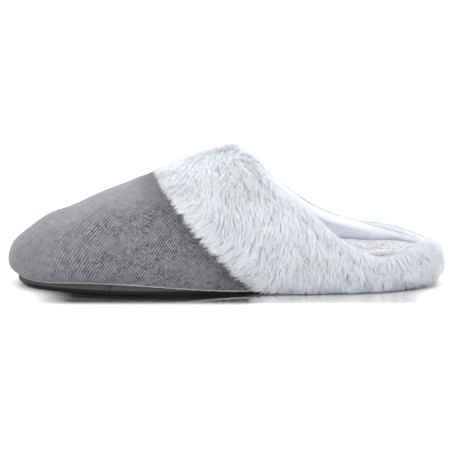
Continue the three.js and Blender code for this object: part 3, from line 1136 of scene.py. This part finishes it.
@dataclass
class VelourToe:
    """The ribbed velour toe cover and the pale rolled edge under its hem."""

    form: SlipperForm
    mesher: Mesher
    sizes: Sizes = Sizes()
    thickness: float = 1.2
    padding_thickness: float = 2.3
    slant: float = math.radians(57)
    tuck_in: float = 3.4
    padding_gap: float = 0.35
    padding_foot: float = 1.86
    padding_share: float = 0.985

    def last_column(self) -> float:
        """The column whose hem meets the cuff seam.

        Returns:
            Its place along the foot.
        """
        t = np.linspace(0.3, 0.8, 1500)
        hem = self.form.surface(t, np.full(t.shape, -1.0), np.full(t.shape, 2.0), level(0.0))
        return float(t[int((self.form.behind_seam(hem) > self.tuck_in).argmax())])

    def columns(self) -> tuple[Array, Array]:
        """The cover's columns and their sides."""
        return round_toe(self.last_column(), self.sizes.columns * 2 + 1)

    def grid(self) -> tuple[Array, Array, Array, Array]:
        """The cover's outer face.

        Returns:
            Its columns, their sides, its rows and its points.
        """
        t, side = self.columns()
        flat = level(0.0)
        w_top = self.form.crossing(t, side, flat, self.form.past_seam(self.tuck_in))
        w = blend(w_top[:, None], 2.0, np.linspace(0, 1, self.sizes.rows)[None])
        return t, side, w, self.form.grid(t, side, w, flat)

    def uneven(self, grid: Array, w: Array, tucks: Array | float = 0.0) -> Array:
        """Gives the cover's soft unevenness to a grid that follows it.

        Args:
            grid: points.
            w: their rows.
            tucks: how far the gathers stand out.

        Returns:
            The moved points.
        """
        lumps = soft_noise(grid, 38, 5) * 0.5 + soft_noise(grid, 15, 6) * 0.16
        fade = smoothstep(w, 2.0, 1.7) * smoothstep(self.form.behind_seam(grid), 0, -6)
        middle = np.stack([np.clip(grid[..., 0], -85, None), 0.2 * grid[..., 1], np.full(w.shape, 12.0)], -1)
        out = grid - middle
        out /= np.linalg.norm(out, axis=-1, keepdims=True)
        return grid + out * (lumps * fade + tucks)[..., None]

    def padding(self) -> bpy.types.Object:
        """Builds the padding under the cover, short of its hem and its seam.

        Returns:
            The padding, closed.
        """
        t, side, w, _ = self.grid()
        w = w[:, :1] + (np.minimum(w, self.padding_foot) - w[:, :1]) * self.padding_share
        inner = level(-self.thickness - self.padding_gap)
        grid = self.uneven(self.form.grid(t, side, w, inner), w)
        made = self.mesher.surface("toe_padding", grid, outward=away_from(20))
        return self.mesher.shell(made, self.padding_thickness)

    def cover(self) -> bpy.types.Object:
        """Builds the toe cover, softly uneven, gathered a little along its hem.

        Returns:
            The cover, with its ribs, their strength and the shade at the seam kept on its points.
        """
        t, side, w, grid = self.grid()
        edge = self.form.rim(t, side, np.full(t.shape, 6.0))
        finer = blend(1.55, 1.0, smoothstep(np.abs(t[1:] + t[:-1]) / 2, 0.06, 0.3))
        run = np.concatenate([[0], np.cumsum(np.linalg.norm(np.diff(edge, axis=0), axis=-1) * finer)])
        run = np.abs(run - run[len(run) // 2])
        tucks = np.sin(run / 2.3)[:, None] * smoothstep(w, 1.1, 1.9) * 0.22
        grid = self.uneven(grid, w, tucks)
        lean = smoothstep(t, 0.1, 0.34)[:, None]
        rib = run[:, None] * math.sin(self.slant) - grid[..., 2] * math.cos(self.slant) * lean
        ribbed = smoothstep(w, 0.2, 0.62) * blend(0.3, 1.0, smoothstep(t, 0.12, 0.33)[:, None])
        shade = smoothstep(self.form.behind_seam(grid), -26, -1) * 0.8
        traits = {"rib": rib * MM, "ribbed": ribbed, "shade": shade}
        made = self.mesher.surface("velour_toe_cover", grid, traits=traits, outward=away_from(20))
        return self.mesher.shell(made, self.thickness)

    def edge(self) -> bpy.types.Object:
        """Builds the rolled edge as a soft cord under the hem.

        Returns:
            The edge, closed.
        """
        t, side = self.columns()
        angle = np.linspace(0, 2 * np.pi, 10, endpoint=False)
        offset = 1.05 + 0.62 * np.cos(angle)[None] + np.zeros((len(t), 1))
        plan = self.form.rim(t[:, None] + 0 * offset, side[:, None] + 0 * offset, offset)
        height = self.form.hem_height(plan[..., 0]) - 0.5 + 0.5 * np.sin(angle)[None]
        twist = 0.06 * np.sin(np.arange(len(t)) * 0.9)[:, None]
        grid = np.concatenate([plan, (height + twist)[..., None]], -1)
        return self.mesher.solid(self.mesher.surface("velour_rolled_edge", grid, closed_rows=True))


@dataclass
class SoleEdge:
    """The dark cloth band round the sole."""

    form: SlipperForm
    mesher: Mesher
    count: int = 150
    lift: float = 0.25

    def band(self) -> bpy.types.Object:
        """Builds the band with a soft bulge and rounded edges.

        Returns:
            The band, closed.
        """
        t, side = there_and_back(0, self.count)
        height = np.array([0, 0.04, 0.15, 0.4, 0.65, 0.86, 0.96, 1, 1, 0.5, 0])
        offset = np.array([-0.25, 0.12, 0.3, 0.36, 0.3, 0.1, -0.12, -0.5, -1, -1, -1])
        shape = (len(t), len(offset))
        plan = self.form.rim(np.broadcast_to(t[:, None], shape), np.broadcast_to(side[:, None], shape),
                             np.broadcast_to(offset, shape))
        x = plan[..., 0]
        low, high = self.form.sole_bottom(x) + self.lift, self.form.wrap_top(x)
        grid = np.concatenate([plan, blend(low, high, height)[..., None]], -1)
        return self.mesher.solid(self.mesher.surface("sole_band", grid, closed_rows=True))


@dataclass
class Footbed:
    """The plush-covered footbed, a little dished, that fills the inside up to the lining."""

    form: SlipperForm
    mesher: Mesher
    count: int = 130
    rows: int = 26
    thickness: float = 2.4
    dish: float = 1.4
    wall_lap: float = 0.5

    def cushion(self) -> bpy.types.Object:
        """Builds the footbed cover as one crowned closed form.

        Returns:
            The cover, with where the fleece stands kept on its points.
        """
        t, side = there_and_back(0, self.count)
        wall = self.form.inner_face(self.wall_lap)
        w = self.form.crossing(t, side, wall, self.form.above_footbed())
        edge = self.form.surface(t, side, w, wall)
        middle_x = edge[:, 0] * 0.8
        middle = np.stack([middle_x, self.form.centre_line(middle_x / self.form.half), edge[:, 2]], -1)
        share = np.linspace(0, 1, self.rows)[None, :, None]
        grid = blend(edge[:, None], middle[:, None], share**1.15)
        s = share[..., 0]
        roll = np.sqrt(np.clip(1 - (1 - np.clip(s / 0.09, 0, 1)) ** 2, 0, 1))
        rise = self.form.sock_top(grid[..., 0]) - self.dish * (1 - np.cos(np.pi * np.clip(s, 0, 1))) / 2
        lumps = soft_noise(grid, 24, 11) * 0.35 + soft_noise(grid, 7, 12) * 0.16
        top = grid.copy()
        top[..., 2] = rise - (1 - roll) * 1.6 + 0.6 + lumps * smoothstep(s, 0, 0.1)
        bottom = grid[:, ::-1].copy()
        bottom[..., 2] = self.form.sock_top(bottom[..., 0]) - self.thickness
        whole = np.concatenate([top, bottom], 1)
        face = np.concatenate([np.ones(s.shape), np.zeros(s.shape)], 1) * np.ones(whole.shape[:2])
        way = np.stack([soft_noise(whole, 15, 13), soft_noise(whole, 12, 14), np.zeros(face.shape)], -1)
        traits = {"comb": way * 0.8, "pile": face}
        return self.mesher.solid(self.mesher.surface("footbed_plush", whole, closed_rows=True, traits=traits))


@dataclass
class Lining:
    """The plush lining: the toe's, and the collar's up to the crease on its rolled edge."""

    form: SlipperForm
    mesher: Mesher
    collar: Collar
    seam_x: float = 2.0
    thickness: float = 1.5
    sunk: float = 2
    sizes: Sizes = Sizes()

    def seam_t(self) -> float:
        """The column at the seam between the two linings."""
        return float(np.arccos(-((self.seam_x + 3.2) / self.form.half)) / np.pi)

    def foot_w(self, t: Array, side: Array) -> Array:
        """Where the lining passes below the footbed."""
        return self.form.crossing(t, side, self.collar.inside(), self.form.above_footbed(self.sunk))

    def toe(self) -> bpy.types.Object:
        """Builds the lining ahead of the seam.

        Returns:
            The lining, closed.
        """
        t, side = round_toe(self.seam_t(), self.sizes.columns + 1)
        w = self.foot_w(t, side)[:, None] * np.linspace(0, 1, 40)[None]
        grid = self.form.grid(t, side, w, self.collar.inside())
        made = self.mesher.surface("lining_toe", grid, outward=towards(35))
        return self.mesher.shell(made, self.thickness)

    def opening(self) -> bpy.types.Object:
        """Builds the visible lining from the crease down to the footbed.

        Returns:
            The lining, with its painted shade and its painted crease shadow kept on its points.
        """
        start, throat = self.seam_t() + 0.001, self.collar.throat_t()
        front = np.linspace(start, throat, 14)
        rear = columns_between(throat, 1, self.sizes.columns)
        pieces = []
        for t, rolled in ((front, False), (rear, True)):
            for side in (-1.0, 1.0):
                sides = np.full(len(t), side)
                top = self.collar.ends(t, sides)[1] if rolled else np.zeros(len(t))
                foot = np.maximum(self.foot_w(t, sides), top + 0.03)
                w = blend(top[:, None], foot[:, None], np.linspace(0, 1, 30)[None])
                wall = self.form.grid(t, sides, w, self.collar.inside())
                if rolled:
                    over = self.collar.rolled(t, sides, self.collar.crease(t), math.pi)
                    wall = np.concatenate([over, wall[:, 1:]], 1)
                above = wall[..., 2] - self.form.sock_top(wall[..., 0])
                shade = smoothstep(above, 5.5, -1.0) ** 1.5
                # painted crease shadow on the first rows below the crease
                crease = np.zeros(above.shape)
                crease[:, :3] = np.array([0.95, 0.7, 0.2]) * float(rolled)
                lumps = soft_noise(wall, 20, 21) * 0.35
                wall = wall + np.array([0, side, 0]) * lumps[..., None]
                traits = {"shade": shade, "crease": crease}
                pieces.append(self.mesher.surface("part", wall, traits=traits, outward=towards(45)))
        return self.mesher.shell(join_pieces(pieces, "lining_collar"), self.thickness)


def join_pieces(parts: Sequence[bpy.types.Object], name: str) -> bpy.types.Object:
    """Joins surfaces into one piece and merges the points where they meet.

    Args:
        parts: the surfaces, which are used up.
        name: the new piece's name.

    Returns:
        The new piece.
    """
    work = bmesh.new()
    for part in parts:
        work.from_mesh(part.data)
    bmesh.ops.remove_doubles(work, verts=work.verts, dist=3e-5)
    mesh = bpy.data.meshes.new(name)
    work.to_mesh(mesh)
    work.free()
    for part in parts:
        bpy.data.objects.remove(part)
    smooth_faces(mesh)
    return add_object(name, mesh)


@dataclass
class CollarPad:
    """The foam inside the cuff and collar."""

    form: SlipperForm
    mesher: Mesher
    collar: Collar
    inset: float = 1.9
    count: int = 70
    rows: int = 14
    outer_foot: float = 1.55
    inner_foot: float = 1.25

    def body(self) -> bpy.types.Object:
        """Builds the foam as one closed padded tube round the foot opening.

        Returns:
            The foam, closed.
        """
        t, side = there_and_back(self.collar.throat_t() + 0.02, self.count)
        w_out, w_in, _ = self.collar.ends(t, side, self.inset)
        rows = np.linspace(0, 1, self.rows)[None]
        w_outer = blend(self.outer_foot, w_out[:, None], rows)
        outer = self.form.grid(t, side, w_outer, self.collar.outside(self.inset))
        over = self.collar.rolled(t, side, 0, math.pi, self.inset)
        w_inner = blend(w_in[:, None], self.inner_foot, rows)
        inner = self.form.grid(t, side, w_inner, self.collar.inside(self.inset))
        grid = np.concatenate([outer[:, :-1], over, inner[:, 1:]], 1)
        return self.mesher.solid(self.mesher.surface("collar_pad", grid, closed_rows=True))


@dataclass(frozen=True)
class FurZone:
    """One stretch of the fur: its name, side, columns and seed."""

    name: str
    side: Side
    start: float
    end: float
    seed: int


@dataclass
class FurCoat:
    """The long-pile fur: a backing in stretches, each covered with combed strands.

    clumps is tufts to the square metre, clumping how strongly strands draw into them, sway and lean
    how far strands stray from the comb and from upright.
    """

    form: SlipperForm
    mesher: Mesher
    collar: Collar
    backing: float = 1.1
    pile: float = 10.0
    strand_width: float = 0.26
    strands: int = 11200
    setback: float = 3.0
    clumps: float = 170000.0
    clumping: float = 170.0
    sway: float = 0.26
    lean: float = 0.18
    lengths_between: tuple[float, float] = (0.62, 1.16)
    clearance: float = 0.3
    first_t: float = 0.36
    side_seam_x: float = 72
    columns: int = 300
    rows: int = 44

    def zones(self) -> list[FurZone]:
        """Divides the fur into three stretches of cuff and one of heel on each side.

        Returns:
            The stretches, the outer side's first.
        """
        seam_t = float(np.arccos(-self.side_seam_x / self.form.half) / np.pi)
        cuts = [blend(self.first_t, seam_t, share) for share in (0.0, 0.4, 0.7)] + [seam_t, 1.0]
        names = ("fur_cuff_{}_front", "fur_cuff_{}_middle", "fur_cuff_{}_rear", "fur_heel_{}")
        zones = []
        for side in Side:
            for k, name in enumerate(names):
                seed = 101 + 7 * len(zones)
                zones.append(FurZone(name.format(side.name.lower()), side, cuts[k], cuts[k + 1], seed))
        return zones

    def band(self, name: str, side: float, start: float, end: float) -> bpy.types.Object:
        """Builds one stretch of the backing.

        Args:
            name: the surface's name.
            side: -1 outer or 1 inner.
            start: its first column.
            end: its last column.

        Returns:
            The surface, open, with the way the pile is combed and its length kept on its points.
        """
        throat = self.collar.throat_t()
        parts = []
        for low, high, rolled in ((start, min(end, throat), False), (max(start, throat), end, True)):
            if high - low < 1e-4:
                continue
            t = columns_between(low, high, max(8, int(self.columns * (high - low))))
            sides = np.full(len(t), side)
            top = self.collar.ends(t, sides)[0] if rolled else np.zeros(len(t))
            foot = self.form.crossing(t, sides, self.collar.outside(), self.form.past_seam(self.setback))
            foot = np.where(foot <= top, top + 1e-3, foot)
            w = blend(top[:, None], foot[:, None], np.linspace(0, 1, self.rows)[None])
            wall = self.form.grid(t, sides, w, self.collar.outside())
            trim = np.ones(w.shape)
            if rolled:
                over = self.collar.rolled(t, sides, self.collar.crease(t), 0.0)
                wall = np.concatenate([over, wall[:, 1:]], 1)
                short = blend(0.4, 0.85, np.linspace(0, 1, over.shape[1]))
                trim = np.concatenate([np.broadcast_to(short, over.shape[:2]), trim[:, 1:]], 1)
            traits = {"comb": self.combed(wall), "pile": self.lengths(wall, trim)}
            parts.append(self.mesher.surface(name + "_part", wall, traits=traits, outward=away_from(20)))
        return join_pieces(parts, name)

    def combed(self, p: Array) -> Array:
        """Which way the pile lies: forward over the velour, down elsewhere.

        Args:
            p: points.

        Returns:
            Directions, longer where the pile lies flatter.
        """
        behind = self.form.behind_seam(p)
        forward = 1 - smoothstep(behind, 2, 46)
        crest = smoothstep(p[..., 2], 56, 80)
        heel = smoothstep(p[..., 0], 70, 120)
        low = smoothstep(p[..., 2], 24, 4) * smoothstep(p[..., 0], 60, 0)
        swirl = soft_noise(p, 34, 31) * 0.24
        x = -forward + (1 - forward) * (0.2 + 0.2 * heel) - low * 0.9 - crest * 0.25 + swirl
        y = np.clip(p[..., 1] / 14, -1, 1) * (0.25 + 0.75 * crest)
        z = -forward * (0.6 + 0.25 * crest) - (1 - forward) + low * 0.5 + soft_noise(p, 26, 32) * 0.12
        way = np.stack([x, y, z], -1)
        way /= np.linalg.norm(way, axis=-1, keepdims=True)
        throat = crest * smoothstep(p[..., 0], -6, 8)
        lay = 0.75 + 0.1 * crest + 0.6 * (1 - smoothstep(behind, 0, 24)) - 0.15 * heel - 0.4 * throat
        return way * np.clip(lay, 0, 1.5)[..., None]

    def lengths(self, p: Array, trim: Array) -> Array:
        """How long the pile is: shorter at the rolled edge and close to the floor.

        Args:
            p: points.
            trim: how much is left by the rolled edge alone.

        Returns:
            Shares of the full pile.
        """
        floor = blend(0.75 - 0.35 * smoothstep(p[..., 0], 90, 115), 1.0, smoothstep(p[..., 2], 2, 16))
        edge = blend(0.62, 0.38, smoothstep(p[..., 2], 40, 66))
        front = blend(edge, 1.0, smoothstep(self.form.behind_seam(p), 0, 16))
        heel = blend(1.0, 0.85, smoothstep(p[..., 0], 104, 124))
        crest = blend(1.0, 1.3, smoothstep(p[..., 2], 60, 78))
        return trim * floor * (front * heel * crest) * (1 + 0.12 * soft_noise(p, 16, 33))

    def strand(self) -> bpy.types.Object:
        """Builds one tapered three-sided strand a unit long, rooted at the origin and bent towards +X.

        Returns:
            The strand, not in the scene.
        """
        rings = [(0.0, 0.0, 0.0, 0.5), (0.38, 0.1, 0.36, 0.5), (0.76, 0.38, 0.62, 0.34)]
        width = self.strand_width / self.pile
        verts = []
        for _, x, z, r in rings:
            for k in range(3):
                angle = 2 * math.pi * k / 3 + math.pi / 6
                verts.append((x + r * width * math.cos(angle) * 0.6, r * width * math.sin(angle), z))
        verts.append((0.66, 0.0, 0.74))
        faces, strips = [(2, 1, 0)], [[(0.9, 0.01), (0.5, 0.06), (0.1, 0.01)]]
        for row in range(2):
            low, high = 0.08 + 0.35 * row, 0.43 + 0.35 * row
            for k in range(3):
                a, b = row * 3 + k, row * 3 + (k + 1) % 3
                faces.append((a, b, b + 3, a + 3))
                left, right = k / 3 + 0.02, (k + 1) / 3 - 0.02
                strips.append([(left, low), (right, low), (right, high), (left, high)])
        for k in range(3):
            faces.append((6 + k, 6 + (k + 1) % 3, 9))
            strips.append([(k / 3 + 0.02, 0.79), ((k + 1) / 3 - 0.02, 0.79), ((k + 0.5) / 3, 0.98)])
        mesh = bpy.data.meshes.new("strand")
        mesh.from_pydata(verts, [], faces)
        smooth_faces(mesh)
        along = mesh.attributes.new("along", "FLOAT", "POINT")
        along.data.foreach_set("value", [0.0] * 3 + [0.4] * 3 + [0.75] * 3 + [1.0])
        strip = mesh.attributes.new("strip", "FLOAT2", "CORNER")
        strip.data.foreach_set("vector", [c for face in strips for corner in face for c in corner])
        return bpy.data.objects.new("strand", mesh)

    def tree(self, strand: bpy.types.Object, finish: bpy.types.Material) -> Any:
        """Builds the geometry node tree that plants the strands.

        Args:
            strand: the strand to copy.
            finish: the strands' material.

        Returns:
            The tree, with inputs for the density, the pile, the seed and the cells of the bake layout.
        """
        group = bpy.data.node_groups.new("planted_pile", "GeometryNodeTree")
        face = group.interface
        face.new_socket("Geometry", in_out="INPUT", socket_type="NodeSocketGeometry")
        for name, kind in (("Density", "Float"), ("Pile", "Float"), ("Seed", "Int"), ("Cells", "Int")):
            face.new_socket(name, in_out="INPUT", socket_type="NodeSocket" + kind)
        face.new_socket("Geometry", in_out="OUTPUT", socket_type="NodeSocketGeometry")
        sheet = NodeSheet(group)
        start = group.nodes.new("NodeGroupInput")
        given = {socket.name: Value(sheet, socket) for socket in start.outputs if socket.name}
        planted = self.standing(sheet, given, strand)
        number = sheet.add("GeometryNodeInputIndex")
        planted = sheet.keep(planted, "tint", sheet.random(0.0, 1.0, given["Seed"] + 9), "FLOAT", "INSTANCE")
        planted = sheet.keep(planted, "cell", number, "INT", "INSTANCE")
        real = sheet.add("GeometryNodeRealizeInstances", None, {"Geometry": planted})
        real = self.laid_out(sheet, real, given["Cells"])
        x, y, z = sheet.axes(sheet.add("GeometryNodeInputPosition"))
        height = z.maths("MAXIMUM", z, self.clearance * MM)
        above_floor = sheet.add("ShaderNodeCombineXYZ", None, {"X": x, "Y": y, "Z": height})
        real = sheet.add("GeometryNodeSetPosition", None, {"Geometry": real, "Position": above_floor})
        dressed = sheet.add("GeometryNodeSetMaterial", None, {"Geometry": real, "Material": finish})
        end = group.nodes.new("NodeGroupOutput")
        group.links.new(dressed.socket, end.inputs[0])
        return group

    def standing(self, sheet: NodeSheet, given: dict[str, Value], strand: bpy.types.Object) -> Value:
        """Stands strands on the backing, combed and drawn together in tufts.

        Args:
            sheet: the tree's nodes.
            given: the tree's inputs by name.
            strand: the strand to copy.

        Returns:
            The strands as instances.
        """
        skin, seed = given["Geometry"], given["Seed"]
        length = sheet.kept("pile", "FLOAT")
        comb = sheet.kept("comb", "FLOAT_VECTOR")
        points = sheet.scatter(skin, given["Density"] * length.eased(0.0, 0.2), seed)
        normal = Value(sheet, points.socket.node.outputs["Normal"])
        tufts = sheet.scatter(skin, self.clumps, seed)
        where = sheet.add("GeometryNodeInputPosition")
        nearest = sheet.add("GeometryNodeSampleNearest", {"domain": "POINT"},
                            {"Geometry": tufts, "Sample Position": where})
        heart = sheet.add("GeometryNodeSampleIndex", {"data_type": "FLOAT_VECTOR", "domain": "POINT"},
                          {"Geometry": tufts, "Value": where, "Index": nearest})
        pull = sheet.vector("SCALE", sheet.vector("SUBTRACT", heart, where), self.clumping)
        way = sheet.vector("ADD", sheet.vector("ADD", comb, pull), sheet.jitter(self.sway, seed + 3))
        upright = sheet.vector("ADD", sheet.vector("ADD", normal, sheet.jitter(self.lean, seed + 7)), comb)
        turn = sheet.add("FunctionNodeAxesToRotation", {"primary_axis": "Z", "secondary_axis": "X"},
                         {"Primary Axis": upright, "Secondary Axis": way})
        scale = length * sheet.random(*self.lengths_between, seed + 5) * given["Pile"]
        model = sheet.add("GeometryNodeObjectInfo", None, {"Object": strand}, output="Geometry")
        return sheet.add("GeometryNodeInstanceOnPoints", None,
                         {"Points": points, "Instance": model, "Rotation": turn, "Scale": scale})

    def laid_out(self, sheet: NodeSheet, strands: Value, cells: Value) -> Value:
        """Gives each strand its own cell of the bake layout.

        Args:
            sheet: the tree's nodes.
            strands: the strands, each with its number kept as cell.
            cells: rows of cells, with twice as many columns.

        Returns:
            The strands with their bake coordinates.
        """
        cell = sheet.kept("cell", "INT")
        across, up, _ = sheet.axes(sheet.kept("strip", "FLOAT_VECTOR"))
        column = cell.maths("MODULO", cell, cells * 2)
        row = cell.maths("FLOOR", cell / (cells * 2))
        spot = {"X": (column + across) / (cells * 2), "Y": (row + up) / cells}
        both = sheet.add("ShaderNodeCombineXYZ", None, spot)
        return sheet.keep(strands, "OFBake", both, "FLOAT2", "CORNER")

    def plant(self, skin: bpy.types.Object, name: str, seed: int, tree: Any) -> bpy.types.Object:
        """Covers a stretch of backing with strands.

        Args:
            skin: the open backing surface.
            name: the new piece's name.
            seed: fixes where the strands stand.
            tree: the planting node tree.

        Returns:
            The strands as one plain mesh.
        """
        pile = skin.data.attributes["pile"].data
        area = sum(p.area for p in skin.data.polygons if pile[p.vertices[0]].value > 0.1)
        cells = int(math.ceil(math.sqrt(self.strands * 1.06 / 2)))
        values = {"Density": self.strands / area, "Pile": self.pile * MM, "Seed": seed, "Cells": cells}
        carrier = add_object(name, skin.data.copy())
        modifier = carrier.modifiers.new("pile", "NODES")
        modifier.node_group = tree
        for item in tree.interface.items_tree:
            if item.in_out == "INPUT" and item.name in values:
                modifier[item.identifier] = values[item.name]
        return self.mesher.settle(carrier)


@dataclass
class Studio:
    """The pale table, the soft lights and the camera."""

    elevation: float = math.radians(9)
    distance: float = 1.7
    view_width: float = 0.2783
    sensor: float = 36
    aim: tuple[float, float, float] = (0.0018, 0.0, 0.0337)
    table_reach: float = 3.0
    world_strength: float = 1.15

    def camera(self) -> None:
        """Places the camera square to the outer side, a little above the table."""
        data = bpy.data.cameras.new("camera")
        camera = add_object("camera", data)
        data.sensor_width = self.sensor
        data.lens = self.sensor * self.distance / self.view_width
        data.clip_end = 20
        x, y, z = self.aim
        back, up = self.distance * math.cos(self.elevation), self.distance * math.sin(self.elevation)
        camera.location = (x, y - back, z + up)
        camera.rotation_euler = (math.pi / 2 - self.elevation, 0, 0)
        bpy.context.scene.camera = camera

    def light(self, name: str, place: tuple[float, float, float], size: float, power: float) -> None:
        """Adds one soft round lamp that faces the slipper.

        Args:
            name: its name.
            place: where it hangs.
            size: its diameter.
            power: its power in watts.
        """
        data = bpy.data.lights.new(name, "AREA")
        data.shape = "DISK"
        data.size = size
        data.energy = power
        lamp = add_object(name, data)
        lamp.location = place
        away = np.array(place) - np.array([0, 0, 0.03])
        flat = math.hypot(away[0], away[1])
        lamp.rotation_euler = (math.atan2(flat, away[2]), 0, math.atan2(away[1], away[0]) + math.pi / 2)

    def table(self) -> bpy.types.Object:
        """Builds the table: one plane, wide enough to fill every view.

        Returns:
            The table.
        """
        mesh = bpy.data.meshes.new("table")
        r = self.table_reach
        mesh.from_pydata([(-r, -r, 0), (r, -r, 0), (r, r, 0), (-r, r, 0)], [], [(0, 1, 2, 3)])
        mesh.materials.append(TableFinish("table", specular=0.5).make())
        return add_object("table", mesh)

    def build(self) -> None:
        """Sets the whole studio."""
        scene = bpy.context.scene
        scene.view_settings.view_transform = "Standard"
        scene.world = bpy.data.worlds.new("studio")
        scene.world.use_nodes = True
        sky = scene.world.node_tree.nodes["Background"]
        sky.inputs[0].default_value = (1, 1, 1, 1)
        sky.inputs[1].default_value = self.world_strength
        self.light("key", (-0.8, -0.8, 1.2), 0.9, 5.0)
        self.light("top", (0.0, 0.1, 1.8), 3.0, 30.0)
        self.table()
        self.camera()


def dress(piece: bpy.types.Object, finish: bpy.types.Material | None, slot: str, *stands_for: str) -> None:
    """Gives a piece its finish, body and the nodes it stands for, and logs its slot.

    Args:
        piece: the piece.
        finish: its material, or None if it has one.
        slot: the material slot.
        stands_for: CAD nodes that it replaces.
    """
    if finish is not None:
        piece.data.materials.clear()
        piece.data.materials.append(finish)
    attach(piece, "root")
    if stands_for:
        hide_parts(*stands_for)
    LOG.info("%s: %d faces, slot %s", piece.name, len(piece.data.polygons), slot)


def form_from_frame() -> SlipperForm:
    """Reads the sole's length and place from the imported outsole.

    Returns:
        The form, placed so that its sole lies on the outsole.
    """
    low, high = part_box("outsole")
    length = (high[0] - low[0]) / MM
    rough = SlipperForm(length, 0, 0)
    t = np.linspace(0, 1, 400)
    reach = [rough.outline(t, np.full(t.shape, side))[:, 1] for side in (-1.0, 1.0)]
    middle = (reach[0].min() + reach[1].max()) / 2
    return SlipperForm(length, (high[0] + low[0]) / 2 / MM, (high[1] + low[1]) / 2 / MM - middle)


def main() -> None:
    """Builds every piece in order and reports it."""
    logging.basicConfig(level=logging.INFO, format="%(message)s")
    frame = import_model()
    form = form_from_frame()
    mesher = Mesher(form)
    Studio().build()

    velour = VelourFinish("ribbed_velour", sheen=0.22, sheen_roughness=0.4, specular=0.1).make()
    grey = {"base": (0.3, 0.29, 0.31), "worn": (0.42, 0.41, 0.43)}
    rolled = SuedeFinish("rolled_edge_cloth", join_x=9.0, **grey).make()
    suede = SuedeFinish("sole_suede", sheen=0.05, specular=0.2, foot=0.0026).make()
    rubber = RubberFinish("tread_rubber", specular=0.1).make()
    plush = PlushFinish("lining_plush", sheen=0.2, specular=0.1).make()
    off_white = {"base": (0.5, 0.5, 0.515), "light": (0.68, 0.675, 0.685)}
    nap = {"nap_size": 0.8, "clump_size": 4.5, "depth": 0.9}
    sock = PlushFinish("footbed_plush", sheen=0.15, specular=0.1, **off_white, **nap).make()
    warm = {"root": (0.52, 0.525, 0.555), "tip": (0.73, 0.735, 0.76), "cool": (0.62, 0.63, 0.665)}
    fleece = PileFinish("footbed_fleece", sheen=0.05, specular=0.2, **warm).make()
    pale = {"base": (0.76, 0.79, 0.85), "light": (0.87, 0.89, 0.93)}
    backing = PlushFinish("fur_backing", specular=0.1, **pale).make()
    pile = PileFinish("fur_pile", sheen=0.12, specular=0.25).make()
    foam = FoamFinish("soft_foam").make()
    board = FoamFinish("fibre_board", base=(0.38, 0.28, 0.16), light=(0.5, 0.38, 0.24), cell=0.5).make()

    toe = VelourToe(form, mesher)
    dress(toe.cover(), velour, "velour", "vamp_velour")
    dress(toe.edge(), rolled, "edge", "vamp_edge_bead")
    padding = toe.padding()
    dress(padding, foam, "padding", "vamp_padding")
    dress(SoleEdge(form, mesher).band(), suede, "sole_wrap", "sole_wrap")

    footbed = Footbed(form, mesher).cushion()
    dress(footbed, sock, "sock", "insole_sock")

    collar = Collar(form)
    lining = Lining(form, mesher, collar)
    dress(lining.toe(), plush, "lining", "vamp_lining")
    dress(lining.opening(), plush, "lining", "collar_lining")
    pad = CollarPad(form, mesher, collar).body()
    dress(pad, foam, "padding", "collar_foam")

    coat = FurCoat(form, mesher, collar)
    tree = coat.tree(coat.strand(), pile)
    short = FurCoat(form, mesher, collar, pile=3.0, strand_width=0.3, strands=6000)
    napped = short.plant(footbed, "footbed_fleece", 41, short.tree(short.strand(), fleece))
    dress(napped, None, "sock")
    skins: dict[str, list[bpy.types.Object]] = {"cuff": [], "heel": []}
    for zone in coat.zones():
        skin = coat.band(zone.name + "_skin", float(zone.side.value), zone.start, zone.end)
        planted = coat.plant(skin, zone.name, zone.seed, tree)
        dress(planted, None, "fur")
        skins["heel" if "heel" in zone.name else "cuff"].append(skin)
    for key, node in (("cuff", "fur_cuff"), ("heel", "fur_heel_band")):
        whole = mesher.shell(join_pieces(skins[key], f"fur_{key}_backing"), coat.backing)
        dress(whole, backing, "fur", node)

    carried = {"outsole": rubber, "midsole_foam": foam, "insole_board": board, "memory_foam_pad": foam}
    for node, finish in carried.items():
        mesh = frame["nodes"][node].data
        mesh.materials.clear()
        mesh.materials.append(finish)


if __name__ == "__main__":
    main()
